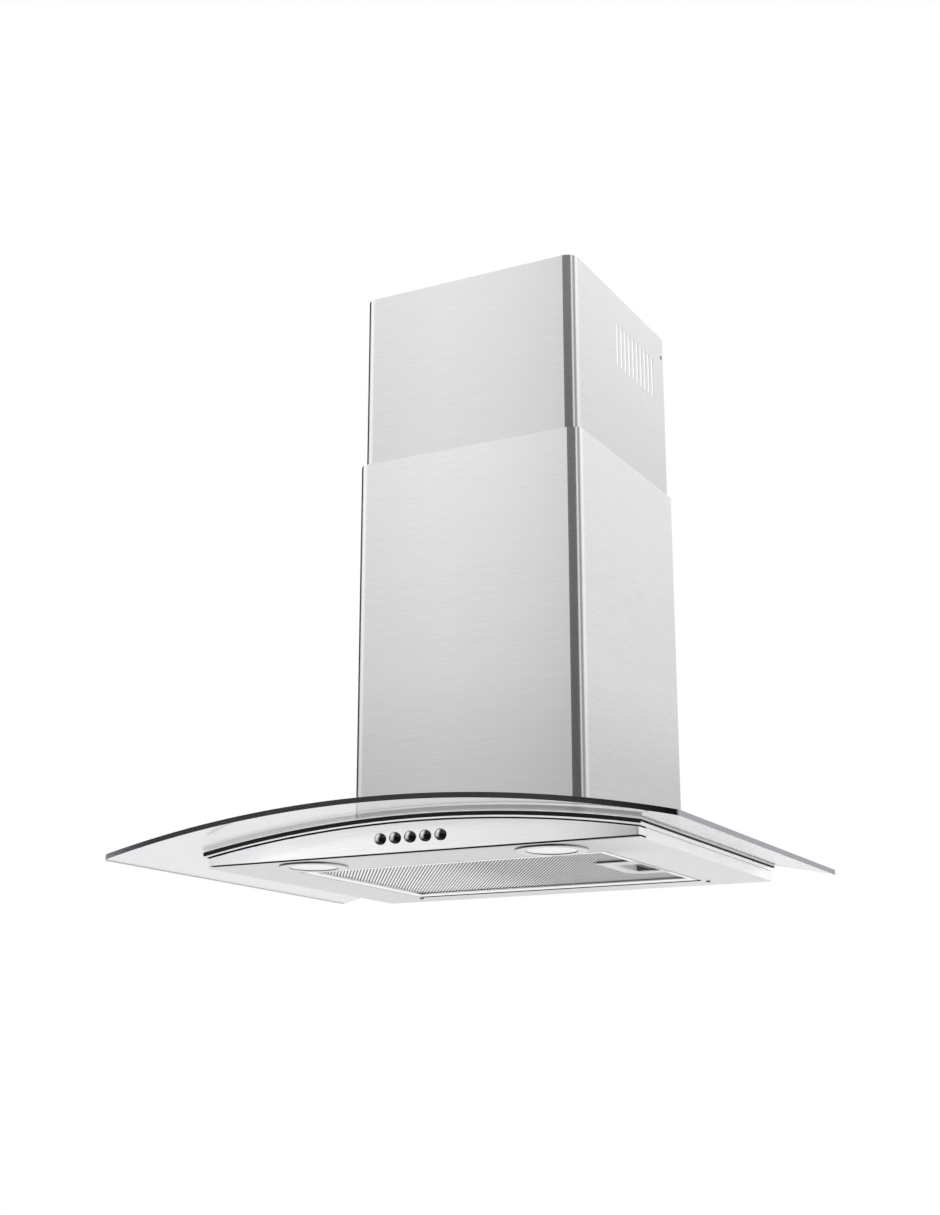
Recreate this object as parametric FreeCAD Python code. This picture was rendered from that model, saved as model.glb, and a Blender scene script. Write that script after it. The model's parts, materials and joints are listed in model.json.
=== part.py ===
import FreeCAD, Part
import math
import os

# Wall chimney hood with an arched glass canopy, in millimetres.
# X runs to the right, Y into the wall, Z up. The wall is the plane Y = 0.
# Heights below are measured from the body's bottom panel. On saving, every piece is lowered so that
# the origin is the middle of the two hanging holes, on the wall.

# Glass canopy
glass_width = 600.0
glass_overhang = 79.0
glass_thick = 5.0
glass_radius = 1324.0
glass_crown = 37.4
glass_corner = 6.0
notch_gap = 6.0

# Seal and support plate under the glass
seal_thick = 1.2
seal_band = 10.0
seal_inset = 1.0
seal_lip = 3.4
seal_side_lip = 1.2
seal_lip_thick = 1.0
rim_thick = 5.1
rim_side = 1.4
rim_front = 3.0

# Body
sheet = 0.8
body_width = 465.0
rear_strip = 47.0
body_corner = 2.5
fascia_depth = 14.0
reveal = 1.2
seam = 1.6
fold = 10.0
lip_height = 2.6

# Push buttons and their switch block
button_count = 5
button_pitch = 16.3
button_radius = 5.3
button_height = 16.0
button_proud = 4.5
button_dome = 2.2
button_inside = 7.0
button_travel = 3.0
stem_radius = 2.6
stem_length = 14.0
switch_depth = 20.0
switch_height = 18.0
switch_margin = 3.0

# Lamps
lamp_inset = 37.0
bezel_radius = 34.5
bezel_window = 24.5
bezel_thick = 1.6
bezel_margin = 1.5
bezel_neck = 6.0
bezel_wall = 4.0
lens_thick = 2.0
lens_recess = 0.8
lamp_height = 11.0
lamp_step = 8.0

# Grease filter
filter_width = 334.0
filter_depth = 246.0
filter_thick = 9.0
filter_wall = 1.2
band_front = 7.0
band_left = 12.0
band_right = 6.0
band_back = 18.0
filter_gap = 1.5
back_gap = 8.0
mesh_rise = 0.6
mesh_thick = 0.8
core_thick = 0.5
core_folds = 40
tab_length = 6.0
tab_width = 30.0
tab_spacing = 140.0
tray_width = 43.0
tray_length = 92.0
tray_margin = 13.0
tray_skin = 1.2
pocket_length = 56.0
latch_travel = 4.0
latch_length = 44.0
latch_depth = 7.0
latch_gap = 0.8
tongue_width = 16.0
tongue_thick = 2.2

# Rail and screws behind the filter
rail_width = 9.0
rail_height = 8.0
rail_overlap = 14.0
rail_offset = 0.5
rail_screw_inset = 8.0
small_screw_radius = 1.3
small_head_radius = 2.4
small_head_height = 1.0

# Blower wheel, motor and casing
wheel_radius = 64.0
wheel_bore = 52.0
wheel_half = 48.0
blade_count = 32
blade_thick = 1.2
blade_lean = 9.0
disc_thick = 3.0
ring_thick = 2.0
hub_radius = 10.0
hub_half = 11.0
shaft_radius = 4.0
motor_radius = 36.0
motor_length = 44.0
motor_edge = 2.5
motor_gap = 3.0
shaft_in_motor = 26.0
casing_gap = 4.0
casing_wall = 2.0
tongue_gap = 8.0
scroll_growth = 33.0
scroll_start = 75.0
scroll_arcs = 6
chute_height = 153.0
chute_lip = 32.0
chute_lip_width = 48.0
inlet_wall = 1.8
inlet_flange = 6.0
inlet_lip = 4.0
arm_count = 3
arm_width = 14.0
arm_radius = 66.0
arm_boss = 6.0
bracket_thick = 2.0
bracket_ring = 31.0
bracket_hole = 12.0
grommet_thick = 4.0
grommet_radius = 5.0
grommet_pitch = 24.0

# Blower box
inlet_space = 55.2
scroll_low_gap = 12.0
scroll_front_gap = 5.4
foot_screw_inset = 45.0
screw_radius = 1.8
head_radius = 3.6
head_height = 2.2
screw_grip = 4.0

# Hanging plate
plate_thick = 2.0
plate_inset = 6.0
plate_height = 225.0
plate_drop = 10.0
hang_drop = 40.0
hang_pitch = 160.0
hang_radius = 4.0
hang_access = 8.0
lower_hole_rise = 20.0
lower_hole_radius = 2.75
plate_screw_inset = 8.0

# Glass clips beside the blower box
clip_width = 24.0
clip_reach = 16.0
clip_leg = 22.0
clip_sheet = 1.2
clip_pad = 2.0
clip_pad_width = 9.0
clip_front = 190.0
clip_back = 110.0

# Chimney covers
cover_side_gap = 17.2
cover_front_gap = 10.2
cover_slide_gap = 3.2
cover_rail_gap = 0.4
cover_return = 6.0
cover_corner = 13.0
lower_top = 444.0
upper_top = 641.0
upper_length = 380.0
vent_count = 10
vent_pitch = 11.3
vent_width = 6.0
vent_height = 48.5
vent_drop = 36.0
vent_back = 36.0
fixing_drop = 25.0
fixing_inset = 6.0
fixing_radius = 2.5

# Brackets of the covers
bracket_sheet = 1.2
wall_bracket_height = 14.0
wall_bracket_drop = 1.0
wall_bracket_ear = 20.0
wall_bracket_tail = 10.0
wall_bracket_hole = 2.75
wall_bracket_pad = 5.5
cover_bracket_width = 30.0
cover_bracket_back = 40.0
cover_bracket_rise = 11.0
cover_bracket_flange = 14.0

# Duct collar and damper
duct_radius = 74.5
duct_wall = 2.0
duct_height = 90.0
collar_flange = 9.5
collar_back_gap = 1.0
collar_thick = 2.5
ledge_width = 3.0
ledge_height = 14.0
ledge_thick = 2.0
flap_thick = 1.5
flap_gap = 1.2
flap_edge = 5.0
knuckle_radius = 4.0
knuckle_length = 28.0
knuckle_gap = 2.0
pin_radius = 2.0

# Electrical pieces
capacitor_radius = 16.0
capacitor_length = 60.0
capacitor_rise = 40.0
capacitor_clip = 1.6
capacitor_clip_height = 12.0
terminal_length = 70.0
terminal_depth = 44.0
terminal_height = 28.0
terminal_wall = 2.0
terminal_inset = 8.0
gland_thread = 7.0
gland_nut = 9.5
gland_bore = 4.0
gland_nut_length = 12.0
gland_thread_length = 8.0
driver_length = 78.0
driver_depth = 40.0
driver_height = 22.0
driver_corner = 3.0

# Clearances
seat_gap = 0.1
fit_gap = 0.3
run_gap = 0.05
hole_gap = 0.2

# How far a cutting shape reaches past the face that it cuts
spare = 1.0

# Sizes that follow from those above
body_half = body_width / 2
front_strip = 2 * (bezel_radius + bezel_margin)
filter_back = -rear_strip
filter_front = filter_back - filter_depth
filter_half = filter_width / 2
filter_middle = (filter_front + filter_back) / 2
lamp_x = filter_half - lamp_inset
body_depth = rear_strip + filter_depth + front_strip
body_front = -body_depth
lamp_y = filter_front - front_strip / 2
glass_front = body_front - glass_overhang
fascia_end = body_front + fascia_depth
arch_centre = glass_crown - glass_radius
rim_top = -seal_thick
rim_bottom = rim_top - rim_thick
wall_top = rim_top - sheet - seat_gap
fascia_top = rim_bottom - reveal

casing_half = wheel_half + casing_gap
casing_outer = casing_half + casing_wall
box_half = casing_outer + inlet_space + sheet
scroll_inner = wheel_radius + tongue_gap
scroll_outer = scroll_inner + scroll_growth


def scroll_radius(degrees):
    return scroll_inner + scroll_growth * (degrees - scroll_start) / (360 - scroll_start)


box_back = -plate_thick
collar_y = box_back - sheet - collar_back_gap - collar_flange - duct_radius
tongue_reach = scroll_inner * math.cos(math.radians(scroll_start))
scroll_y = collar_y - (scroll_outer + tongue_reach) / 2
box_front = scroll_y - scroll_radius(180) - casing_wall - scroll_front_gap - sheet
scroll_z = glass_crown + rim_top + scroll_low_gap + casing_wall + scroll_radius(270)
chute_front = scroll_y + tongue_reach
chute_back = scroll_y + scroll_outer
chute_top = scroll_z + chute_height
box_top = chute_top + seat_gap + sheet
hang_z = box_top - hang_drop
plate_top = box_top - plate_drop
plate_bottom = plate_top - plate_height
lower_hole_z = plate_bottom + lower_hole_rise

notch_half = box_half + notch_gap
notch_front = box_front - notch_gap
upper_half = box_half + cover_side_gap + sheet
upper_front = box_front - cover_front_gap - sheet
upper_back = -sheet - cover_rail_gap
lower_half = upper_half + cover_slide_gap + sheet
lower_front = upper_front - cover_slide_gap - sheet
fixing_z = upper_top - fixing_drop
fixing_y = upper_back - fixing_inset
wall_hole_x = upper_half - sheet - cover_return - fit_gap - wall_bracket_pad
wall_hole_z = upper_top - wall_bracket_drop - wall_bracket_height / 2

duct_bore = duct_radius - duct_wall
ledge_top = box_top + collar_thick + ledge_height
flap_bottom = ledge_top + fit_gap
pin_z = flap_bottom + flap_thick / 2

tray_right = filter_half - filter_wall - hole_gap
tray_left = tray_right - tray_width
tray_top = filter_thick - filter_wall - hole_gap
pocket_left = tray_left + tray_margin
pocket_right = tray_right - tray_skin
latch_right = pocket_right - latch_travel - latch_gap
tongue_bottom = lip_height + fit_gap + hole_gap

os.makedirs("parts", exist_ok=True)


# Helpers

def vec(x, y, z):
    return FreeCAD.Vector(x, y, z)


def box(x0, x1, y0, y1, z0, z1):
    return Part.makeBox(x1 - x0, y1 - y0, z1 - z0, vec(x0, y0, z0))


def rod(radius, start, axis, length):
    return Part.makeCylinder(radius, length, vec(*start), vec(*axis))


def tube(outer, inner, start, axis, length):
    return rod(outer, start, axis, length).cut(rod(inner, start, axis, length))


def arch_z(x, offset):
    return arch_centre + math.sqrt((glass_radius + offset) ** 2 - x ** 2)


def arch_edge(x0, x1, offset):
    middle = (x0 + x1) / 2
    points = [vec(x, 0, arch_z(x, offset)) for x in (x0, middle, x1)]
    return Part.Arc(*points).toShape()


def prism_y(edges, y0, y1):
    face = Part.Face(Part.Wire(Part.__sortEdges__(edges)))
    solid = face.extrude(vec(0, y1 - y0, 0))
    solid.translate(vec(0, y0, 0))
    return solid


def side_edge(x, z0, z1):
    return Part.LineSegment(vec(x, 0, z0), vec(x, 0, z1)).toShape()


def arch_slab(x0, x1, y0, y1, low, high):
    edges = [arch_edge(x0, x1, low), arch_edge(x0, x1, high)]
    for x in (x0, x1):
        edges.append(side_edge(x, arch_z(x, low), arch_z(x, high)))
    return prism_y(edges, y0, y1)


def under_arch(x0, x1, y0, y1, z0, high):
    edges = [arch_edge(x0, x1, high)]
    edges.append(Part.LineSegment(vec(x0, 0, z0), vec(x1, 0, z0)).toShape())
    for x in (x0, x1):
        edges.append(side_edge(x, z0, arch_z(x, high)))
    return prism_y(edges, y0, y1)


def bent_prism(half, front, back, radius, z0, z1):
    # A prism whose two front corners are rounded.
    turn = radius * (1 - math.sqrt(0.5))
    left = Part.Arc(vec(-half, front + radius, z0), vec(-half + turn, front + turn, z0),
                    vec(-half + radius, front, z0))
    right = Part.Arc(vec(half - radius, front, z0), vec(half - turn, front + turn, z0),
                     vec(half, front + radius, z0))
    straight = [((-half, back), (-half, front + radius))]
    straight += [((-half + radius, front), (half - radius, front))]
    straight += [((half, front + radius), (half, back)), ((half, back), (-half, back))]
    edges = [left.toShape(), right.toShape()]
    for (x0, y0), (x1, y1) in straight:
        edges.append(Part.LineSegment(vec(x0, y0, z0), vec(x1, y1, z0)).toShape())
    face = Part.Face(Part.Wire(Part.__sortEdges__(edges)))
    return face.extrude(vec(0, 0, z1 - z0))


def screw(x, y, z, axis, radius, length, head_r, head_h):
    # The head's underside is at the given point, and the shank runs along the axis.
    back = [-a for a in axis]
    head = rod(head_r, (x, y, z), back, head_h)
    return head.fuse(rod(radius, (x, y, z), axis, length))


def mirrored(shape):
    return shape.mirror(vec(0, 0, 0), vec(1, 0, 0))


def both_sides(shape):
    return [shape, mirrored(shape)]


def save(name, shape):
    placed = shape.copy()
    placed.translate(vec(0, 0, -hang_z))
    placed.exportStep("parts/" + name + ".step")


# Glass canopy, its seal and its support plate

def glass_canopy():
    half = glass_width / 2
    glass = arch_slab(-half, half, glass_front, 0, 0, glass_thick)
    corners = []
    for edge in glass.Edges:
        middle = edge.CenterOfMass
        upright = abs(edge.Vertexes[0].X - edge.Vertexes[-1].X) < 0.01
        at_front = abs(middle.y - glass_front) < 0.01
        if upright and at_front and abs(abs(middle.x) - half) < 0.01:
            corners.append(edge)
    glass = glass.makeFillet(glass_corner, corners)
    high = glass_crown + 2 * glass_thick
    notch = box(-notch_half, notch_half, notch_front, glass_thick, -glass_thick, high)
    return glass.cut(notch)


def glass_support():
    half = body_half + rim_side
    front = body_front - rim_front
    plate = arch_slab(-half, half, front, 0, rim_bottom, rim_top)
    inner = half - sheet
    plate = plate.cut(arch_slab(-inner, inner, front + sheet, sheet, rim_bottom - sheet, rim_top - sheet))
    mouth = box_half - sheet - fold - sheet
    air = box(-mouth, mouth, box_front + 3 * sheet, box_back - 3 * sheet, 0, glass_crown)
    plate = plate.cut(air)
    for x, y in foot_screw_places():
        plate = plate.cut(rod(screw_radius + hole_gap, (x, y, 0), (0, 0, 1), glass_crown))
    return plate


def glass_seal():
    # A band under the glass, whose lips hang over the support plate's front and side edges.
    plate_half = body_half + rim_side
    lip_inner = plate_half + seat_gap
    lip_outer = lip_inner + seal_lip_thick
    front = body_front - rim_front + seal_inset
    low = rim_top + seat_gap
    high = -seat_gap
    outer = arch_slab(-lip_outer, lip_outer, front, 0, low, high)
    inside = plate_half - seal_inset - seal_band
    opening = box(-inside, inside, front + seal_band, -seal_band, -glass_crown, 2 * glass_crown)
    band = outer.cut(opening)
    collar_half = notch_half + seal_inset + seal_band
    collar_front = notch_front - seal_inset - seal_band
    band = band.fuse(arch_slab(-collar_half, collar_half, collar_front, 0, low, high))
    bite = notch_half + seal_inset
    band = band.cut(box(-bite, bite, notch_front - seal_inset, seal_band, -glass_crown, 2 * glass_crown))
    lip_back = body_front - rim_front - seat_gap
    lip_front = lip_back - seal_lip_thick
    band = band.fuse(arch_slab(-lip_outer, lip_outer, lip_front, front + seal_band, low, high))
    band = band.fuse(arch_slab(-lip_outer, lip_outer, lip_front, lip_back, low - seal_lip, high))
    for x0, x1 in ((-lip_outer, -lip_inner), (lip_inner, lip_outer)):
        band = band.fuse(arch_slab(x0, x1, lip_front, 0, low - seal_side_lip, high))
    return band.removeSplitter()


# Body shell and fascia

def body_shell():
    shell = bent_prism(body_half, body_front, 0, body_corner, 0, sheet)
    for x0 in (-body_half, body_half - sheet):
        shell = shell.fuse(under_arch(x0, x0 + sheet, fascia_end + fit_gap, 0, 0, wall_top))
    shell = shell.fuse(under_arch(-body_half, body_half, -sheet, 0, 0, wall_top))
    hole_x = filter_half + filter_gap
    hole_front = filter_front - filter_gap
    hole_back = filter_back + back_gap
    lip = box(-hole_x - sheet, hole_x + sheet, hole_front - sheet, hole_back, 0, lip_height)
    shell = shell.fuse(lip)
    shell = shell.cut(box(-hole_x, hole_x, hole_front, hole_back, -sheet, 2 * lip_height))
    for x in (-lamp_x, lamp_x):
        radius = bezel_window + bezel_wall + fit_gap
        shell = shell.cut(rod(radius, (x, lamp_y, -sheet), (0, 0, 1), 3 * sheet))
    for x, y in rail_screw_places():
        shell = shell.cut(rod(small_screw_radius + hole_gap, (x, y, -sheet), (0, 0, 1), 3 * sheet))
    return shell.removeSplitter()


def button_places():
    first = -button_pitch * (button_count - 1) / 2
    return [first + button_pitch * number for number in range(button_count)]


def front_fascia():
    low = sheet + seam
    face = bent_prism(body_half, body_front, fascia_end, body_corner, low, glass_crown)
    face = face.common(under_arch(-body_half, body_half, body_front, fascia_end, 0, fascia_top))
    hollow = bent_prism(body_half - sheet, body_front + sheet, fascia_end + spare, body_corner - sheet,
                        0, glass_crown)
    room = under_arch(-body_half, body_half, body_front, fascia_end + spare, 0, fascia_top - sheet)
    face = face.cut(hollow.common(room))
    for x in button_places():
        hole = rod(button_radius + fit_gap, (x, body_front - sheet, button_height), (0, 1, 0), 3 * sheet)
        face = face.cut(hole)
    return face.removeSplitter()


# Push buttons, switch block and its bracket

switch_front = body_front + button_inside + button_travel + fit_gap + seat_gap
switch_back = switch_front + switch_depth
switch_half = button_pitch * button_count / 2 + switch_margin


def push_button(x):
    tip = body_front - button_proud
    shoulder = body_front + button_inside
    end = shoulder + stem_length
    drop = button_radius / math.sqrt(2)
    ball = (button_radius ** 2 + button_dome ** 2) / (2 * button_dome)
    bulge = tip + ball - math.sqrt(ball ** 2 - drop ** 2)
    dome = Part.Arc(vec(0, tip, 0), vec(drop, bulge, 0), vec(button_radius, tip + button_dome, 0))
    corners = [(button_radius, tip + button_dome), (button_radius, shoulder), (stem_radius, shoulder)]
    corners += [(stem_radius, end), (0, end), (0, tip)]
    edges = [dome.toShape()]
    for (r0, y0), (r1, y1) in zip(corners, corners[1:]):
        edges.append(Part.LineSegment(vec(r0, y0, 0), vec(r1, y1, 0)).toShape())
    profile = Part.Face(Part.Wire(edges))
    button = profile.revolve(vec(0, 0, 0), vec(0, 1, 0), 360)
    button.translate(vec(x, 0, button_height))
    return button


def switch_block():
    low = button_height - switch_height / 2
    block = box(-switch_half, switch_half, switch_front, switch_back, low, low + switch_height)
    depth = button_inside + stem_length + button_travel + fit_gap + body_front - switch_front
    for x in button_places():
        bore = rod(stem_radius + fit_gap, (x, switch_front, button_height), (0, 1, 0), depth)
        block = block.cut(bore)
    return block


def switch_bracket():
    low = button_height - switch_height / 2 + sheet
    high = low + switch_height - 2 * sheet
    fascia_back = body_front + sheet
    plate = box(-switch_half - sheet, switch_half + sheet, switch_back, switch_back + sheet, low, high)
    arm = box(switch_half, switch_half + sheet, fascia_back, switch_back + sheet, low, high)
    ear = box(switch_half, switch_half + fold, fascia_back, fascia_back + sheet, low, high)
    for side in both_sides(arm.fuse(ear)):
        plate = plate.fuse(side)
    return plate.removeSplitter()


# Lamps

def lamp_bezel(x):
    outer = bezel_window + bezel_wall
    flange = tube(bezel_radius, bezel_window, (x, lamp_y, -bezel_thick), (0, 0, 1), bezel_thick)
    rim = max(flange.Edges, key=lambda edge: edge.BoundBox.XLength - edge.CenterOfMass.z)
    flange = flange.makeChamfer(bezel_thick / 2, [rim])
    neck = tube(outer, bezel_window, (x, lamp_y, 0), (0, 0, 1), bezel_neck)
    return flange.fuse(neck).removeSplitter()


def lamp_lens(x):
    return rod(bezel_window - hole_gap, (x, lamp_y, lens_recess - bezel_thick), (0, 0, 1), lens_thick)


def lamp_body(x):
    outer = bezel_window + bezel_wall
    low = rod(outer, (x, lamp_y, bezel_neck), (0, 0, 1), lamp_height / 2)
    high = rod(outer - lamp_step, (x, lamp_y, bezel_neck), (0, 0, 1), lamp_height)
    return low.fuse(high)


# Grease filter

def tray_room(gap):
    half = tray_length / 2 + gap
    return box(tray_left - gap, tray_right + gap, filter_middle - half, filter_middle + half,
               -filter_thick, tray_top + gap)


def filter_frame():
    wall = filter_wall
    frame = box(-filter_half, filter_half, filter_front, filter_back, 0, filter_thick)
    hollow = box(-filter_half + wall, filter_half - wall, filter_front + wall, filter_back - wall,
                 wall, filter_thick - wall)
    window = box(-filter_half + band_left, filter_half - band_right, filter_front + band_front,
                 filter_back - band_back, -wall, filter_thick + wall)
    frame = frame.cut(hollow).cut(window).cut(tray_room(hole_gap))
    for side in (-1, 1):
        middle = filter_middle + side * tab_spacing / 2
        tab = box(-filter_half - tab_length, -filter_half + wall, middle - tab_width / 2,
                  middle + tab_width / 2, lip_height + fit_gap, lip_height + fit_gap + wall)
        frame = frame.fuse(tab)
    half = tongue_width / 2 + fit_gap
    slot = box(filter_half - 2 * wall, filter_half + wall, filter_middle - half, filter_middle + half,
               tongue_bottom - fit_gap, tongue_bottom + tongue_thick + fit_gap)
    return frame.cut(slot).removeSplitter()


def filter_layer(low, high):
    inset = filter_wall + hole_gap
    layer = box(-filter_half + inset, filter_half - inset, filter_front + inset, filter_back - inset,
                low, high)
    return layer.cut(tray_room(hole_gap))


mesh_low = filter_wall + mesh_rise
mesh_high = filter_thick - filter_wall - seat_gap


def filter_mesh():
    return filter_layer(mesh_low, mesh_low + mesh_thick)


def filter_core():
    # A corrugated sheet between the two flat meshes, with its folds along Y.
    inset = filter_wall + hole_gap
    half = filter_half - inset
    low = mesh_low + mesh_thick + seat_gap
    high = mesh_high - mesh_thick - seat_gap - core_thick
    step = 2 * half / core_folds
    ridge = [(-half + step * number, (low, high)[number % 2]) for number in range(core_folds + 1)]
    outline = [vec(x, 0, z) for x, z in ridge]
    outline += [vec(x, 0, z + core_thick) for x, z in reversed(ridge)]
    face = Part.Face(Part.makePolygon(outline + outline[:1]))
    core = face.extrude(vec(0, filter_depth - 2 * inset, 0))
    core.translate(vec(0, filter_front + inset, 0))
    return core.cut(tray_room(hole_gap))


def filter_back_mesh():
    return filter_layer(mesh_high - mesh_thick, mesh_high)


def filter_tray():
    half = tray_length / 2
    tray = box(tray_left, tray_right, filter_middle - half, filter_middle + half, 0, tray_top)
    half = pocket_length / 2
    pocket = box(pocket_left, pocket_right, filter_middle - half, filter_middle + half,
                 -tray_skin, tray_top - tray_skin)
    half = tongue_width / 2 + fit_gap
    slot = box(pocket_right - tray_skin, tray_right + tray_skin, filter_middle - half,
               filter_middle + half, tongue_bottom - fit_gap, tongue_bottom + tongue_thick + fit_gap)
    return tray.cut(pocket).cut(slot)


def filter_latch():
    half = latch_length / 2
    low = tray_skin
    high = tray_top - tray_skin - fit_gap
    left = latch_right - latch_depth
    grip = box(left, latch_right, filter_middle - half, filter_middle + half, low, high)
    edges = [edge for edge in grip.Edges if edge.BoundBox.ZLength > (high - low) / 2]
    grip = grip.makeFillet(latch_depth / 4, edges)
    half = tongue_width / 2
    tongue = box(latch_right - latch_depth / 2, filter_half - hole_gap, filter_middle - half,
                 filter_middle + half, tongue_bottom, tongue_bottom + tongue_thick)
    return grip.fuse(tongue).removeSplitter()


# Rail behind the filter and its two screws

rail_front = filter_back + back_gap + rail_offset
rail_half = filter_half + rail_overlap


def rail_screw_places():
    x = rail_half - rail_screw_inset
    y = rail_front + rail_width / 2
    return [(-x, y), (x, y)]


def rear_rail():
    top = sheet + rail_height
    rail = box(-rail_half, rail_half, rail_front, rail_front + rail_width, sheet, top)
    rail = rail.cut(box(-rail_half, rail_half, rail_front + sheet, rail_front + rail_width - sheet,
                        0, top - sheet))
    for x, y in rail_screw_places():
        rail = rail.cut(rod(small_screw_radius + hole_gap, (x, y, 0), (0, 0, 1), 2 * top))
    return rail


def rail_screws():
    length = sheet + rail_height + 2 * sheet
    screws = []
    for x, y in rail_screw_places():
        screws.append(screw(x, y, 0, (0, 0, 1), small_screw_radius, length, small_head_radius,
                            small_head_height))
    return Part.makeCompound(screws)


# Blower box, hanging plate and their screws

def foot_screw_places():
    x = box_half - sheet - fold / 2
    ends = (box_front + foot_screw_inset, box_back - foot_screw_inset)
    return [(side * x, y) for side in (-1, 1) for y in ends]


def plate_screw_places():
    x = box_half - plate_inset - plate_screw_inset
    ends = (plate_bottom + plate_screw_inset, plate_top - plate_screw_inset)
    return [(side * x, z) for side in (-1, 1) for z in ends]


def hang_places():
    return [(-hang_pitch / 2, hang_z), (hang_pitch / 2, hang_z)]


def lower_hole_places():
    return [(-hang_pitch / 2, lower_hole_z), (hang_pitch / 2, lower_hole_z)]


def outlet_screw_places():
    x = casing_half + chute_lip - 2 * head_radius
    y = chute_lip_width / 2 - 2 * head_radius
    return [(side * x, collar_y + end * y) for side in (-1, 1) for end in (-1, 1)]


def clip_places():
    return (-clip_front, -clip_back)


clip_foot_z = arch_z(box_half, glass_thick) + clip_pad
clip_screw_z = clip_foot_z + clip_leg / 2


def blower_box():
    shell = box(-box_half, box_half, box_front, box_back, 0, box_top)
    shell = shell.cut(box(-box_half + sheet, box_half - sheet, box_front + sheet, box_back - sheet,
                          -sheet, box_top - sheet))
    foot = rim_top + seat_gap
    inner = box_half - sheet - fold
    flange = arch_slab(inner, box_half, box_front, box_back, foot, foot + sheet)
    for side in both_sides(flange):
        shell = shell.fuse(side)
    shell = shell.cut(under_arch(-body_half, body_half, box_front - sheet, 0, -body_half, foot))
    shell = shell.cut(rod(duct_bore, (0, collar_y, box_top - 2 * sheet), (0, 0, 1), 3 * sheet))
    along = (0, 1, 0)
    start = box_back - 2 * sheet
    for x, z in hang_places() + lower_hole_places():
        shell = shell.cut(rod(hang_access, (x, start, z), along, 3 * sheet))
    for x, z in plate_screw_places():
        shell = shell.cut(rod(screw_radius + hole_gap, (x, start, z), along, 3 * sheet))
    for x, y in foot_screw_places():
        shell = shell.cut(rod(screw_radius + hole_gap, (x, y, 0), (0, 0, 1), 2 * glass_crown))
    for x, y in outlet_screw_places():
        start = (x, y, box_top - 2 * sheet)
        shell = shell.cut(rod(screw_radius + hole_gap, start, (0, 0, 1), 3 * sheet))
    for y in clip_places():
        start = (-box_half - sheet, y, clip_screw_z)
        shell = shell.cut(rod(screw_radius + hole_gap, start, (1, 0, 0), 2 * (box_half + sheet)))
    return shell.removeSplitter()


def foot_screws():
    screws = []
    for x, y in foot_screw_places():
        z = arch_z(abs(x) - head_radius, rim_top + seat_gap + sheet) + seat_gap
        length = 2 * sheet + screw_grip
        screws.append(screw(x, y, z, (0, 0, -1), screw_radius, length, head_radius, head_height))
    return Part.makeCompound(screws)


def hanging_plate():
    half = box_half - plate_inset
    plate = box(-half, half, box_back, 0, plate_bottom, plate_top)
    along = (0, 1, 0)
    start = box_back - plate_thick
    for x, z in hang_places():
        plate = plate.cut(rod(hang_radius, (x, start, z), along, 3 * plate_thick))
    for x, z in lower_hole_places():
        plate = plate.cut(rod(lower_hole_radius, (x, start, z), along, 3 * plate_thick))
    for x, z in plate_screw_places():
        plate = plate.cut(rod(screw_radius + hole_gap, (x, start, z), along, 3 * plate_thick))
    return plate


def plate_screws():
    screws = []
    for x, z in plate_screw_places():
        length = sheet + plate_thick - hole_gap
        screws.append(screw(x, box_back - sheet, z, (0, 1, 0), screw_radius, length, head_radius,
                            head_height))
    return Part.makeCompound(screws)


# Glass clips

def glass_clips():
    clips = []
    for y in clip_places():
        front = y - clip_width / 2
        back = y + clip_width / 2
        leg = box(box_half, box_half + clip_sheet, front, back, clip_foot_z, clip_foot_z + clip_leg)
        foot = box(box_half, box_half + clip_reach, front, back, clip_foot_z, clip_foot_z + clip_sheet)
        clip = leg.fuse(foot)
        start = (box_half - sheet, y, clip_screw_z)
        hole = rod(screw_radius + hole_gap, start, (1, 0, 0), 3 * clip_sheet)
        clips += both_sides(clip.cut(hole).removeSplitter())
    return Part.makeCompound(clips)


def clip_pads():
    pads = []
    outside = box_half + clip_reach
    for y in clip_places():
        front = y - clip_width / 2
        back = y + clip_width / 2
        pad = box(outside - clip_pad_width, outside, front, back, 0, clip_foot_z)
        below = under_arch(0, body_half, front - spare, back + spare, -body_half, glass_thick + seat_gap)
        pads += both_sides(pad.cut(below))
    return Part.makeCompound(pads)


def clip_screws():
    screws = []
    for y in clip_places():
        length = clip_sheet + sheet + screw_grip
        one = screw(box_half + clip_sheet, y, clip_screw_z, (-1, 0, 0), screw_radius, length,
                    head_radius, head_height)
        screws += both_sides(one)
    return Part.makeCompound(screws)


# Blower casing, inlet rings, wheel, motor and bracket

def scroll_point(degrees, radius):
    angle = math.radians(degrees)
    return vec(0, scroll_y + radius * math.cos(angle), scroll_z + radius * math.sin(angle))


def scroll_prism(extra, x0, x1):
    # A scroll of growing radius, with the chute that rises from its wide end.
    turn = (360 - scroll_start) / scroll_arcs
    centre = vec(0, scroll_y, scroll_z)
    edges = []
    for step in range(scroll_arcs):
        angles = [scroll_start + turn * (step + part) for part in (0, 0.5, 1)]
        points = [scroll_point(angle, scroll_radius(angle) + extra) for angle in angles]
        edges.append(Part.Arc(*points).toShape())
    first = scroll_point(scroll_start, scroll_radius(scroll_start) + extra)
    last = scroll_point(360, scroll_outer + extra)
    edges.append(Part.LineSegment(last, centre).toShape())
    edges.append(Part.LineSegment(centre, first).toShape())
    scroll = Part.Face(Part.Wire(edges)).extrude(vec(x1 - x0, 0, 0))
    scroll.translate(vec(x0, 0, 0))
    eye = rod(scroll_inner + extra, (x0, scroll_y, scroll_z), (1, 0, 0), x1 - x0)
    chute = box(x0, x1, chute_front - extra, chute_back + extra, scroll_z, chute_top)
    return scroll.fuse(eye).fuse(chute)


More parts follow.
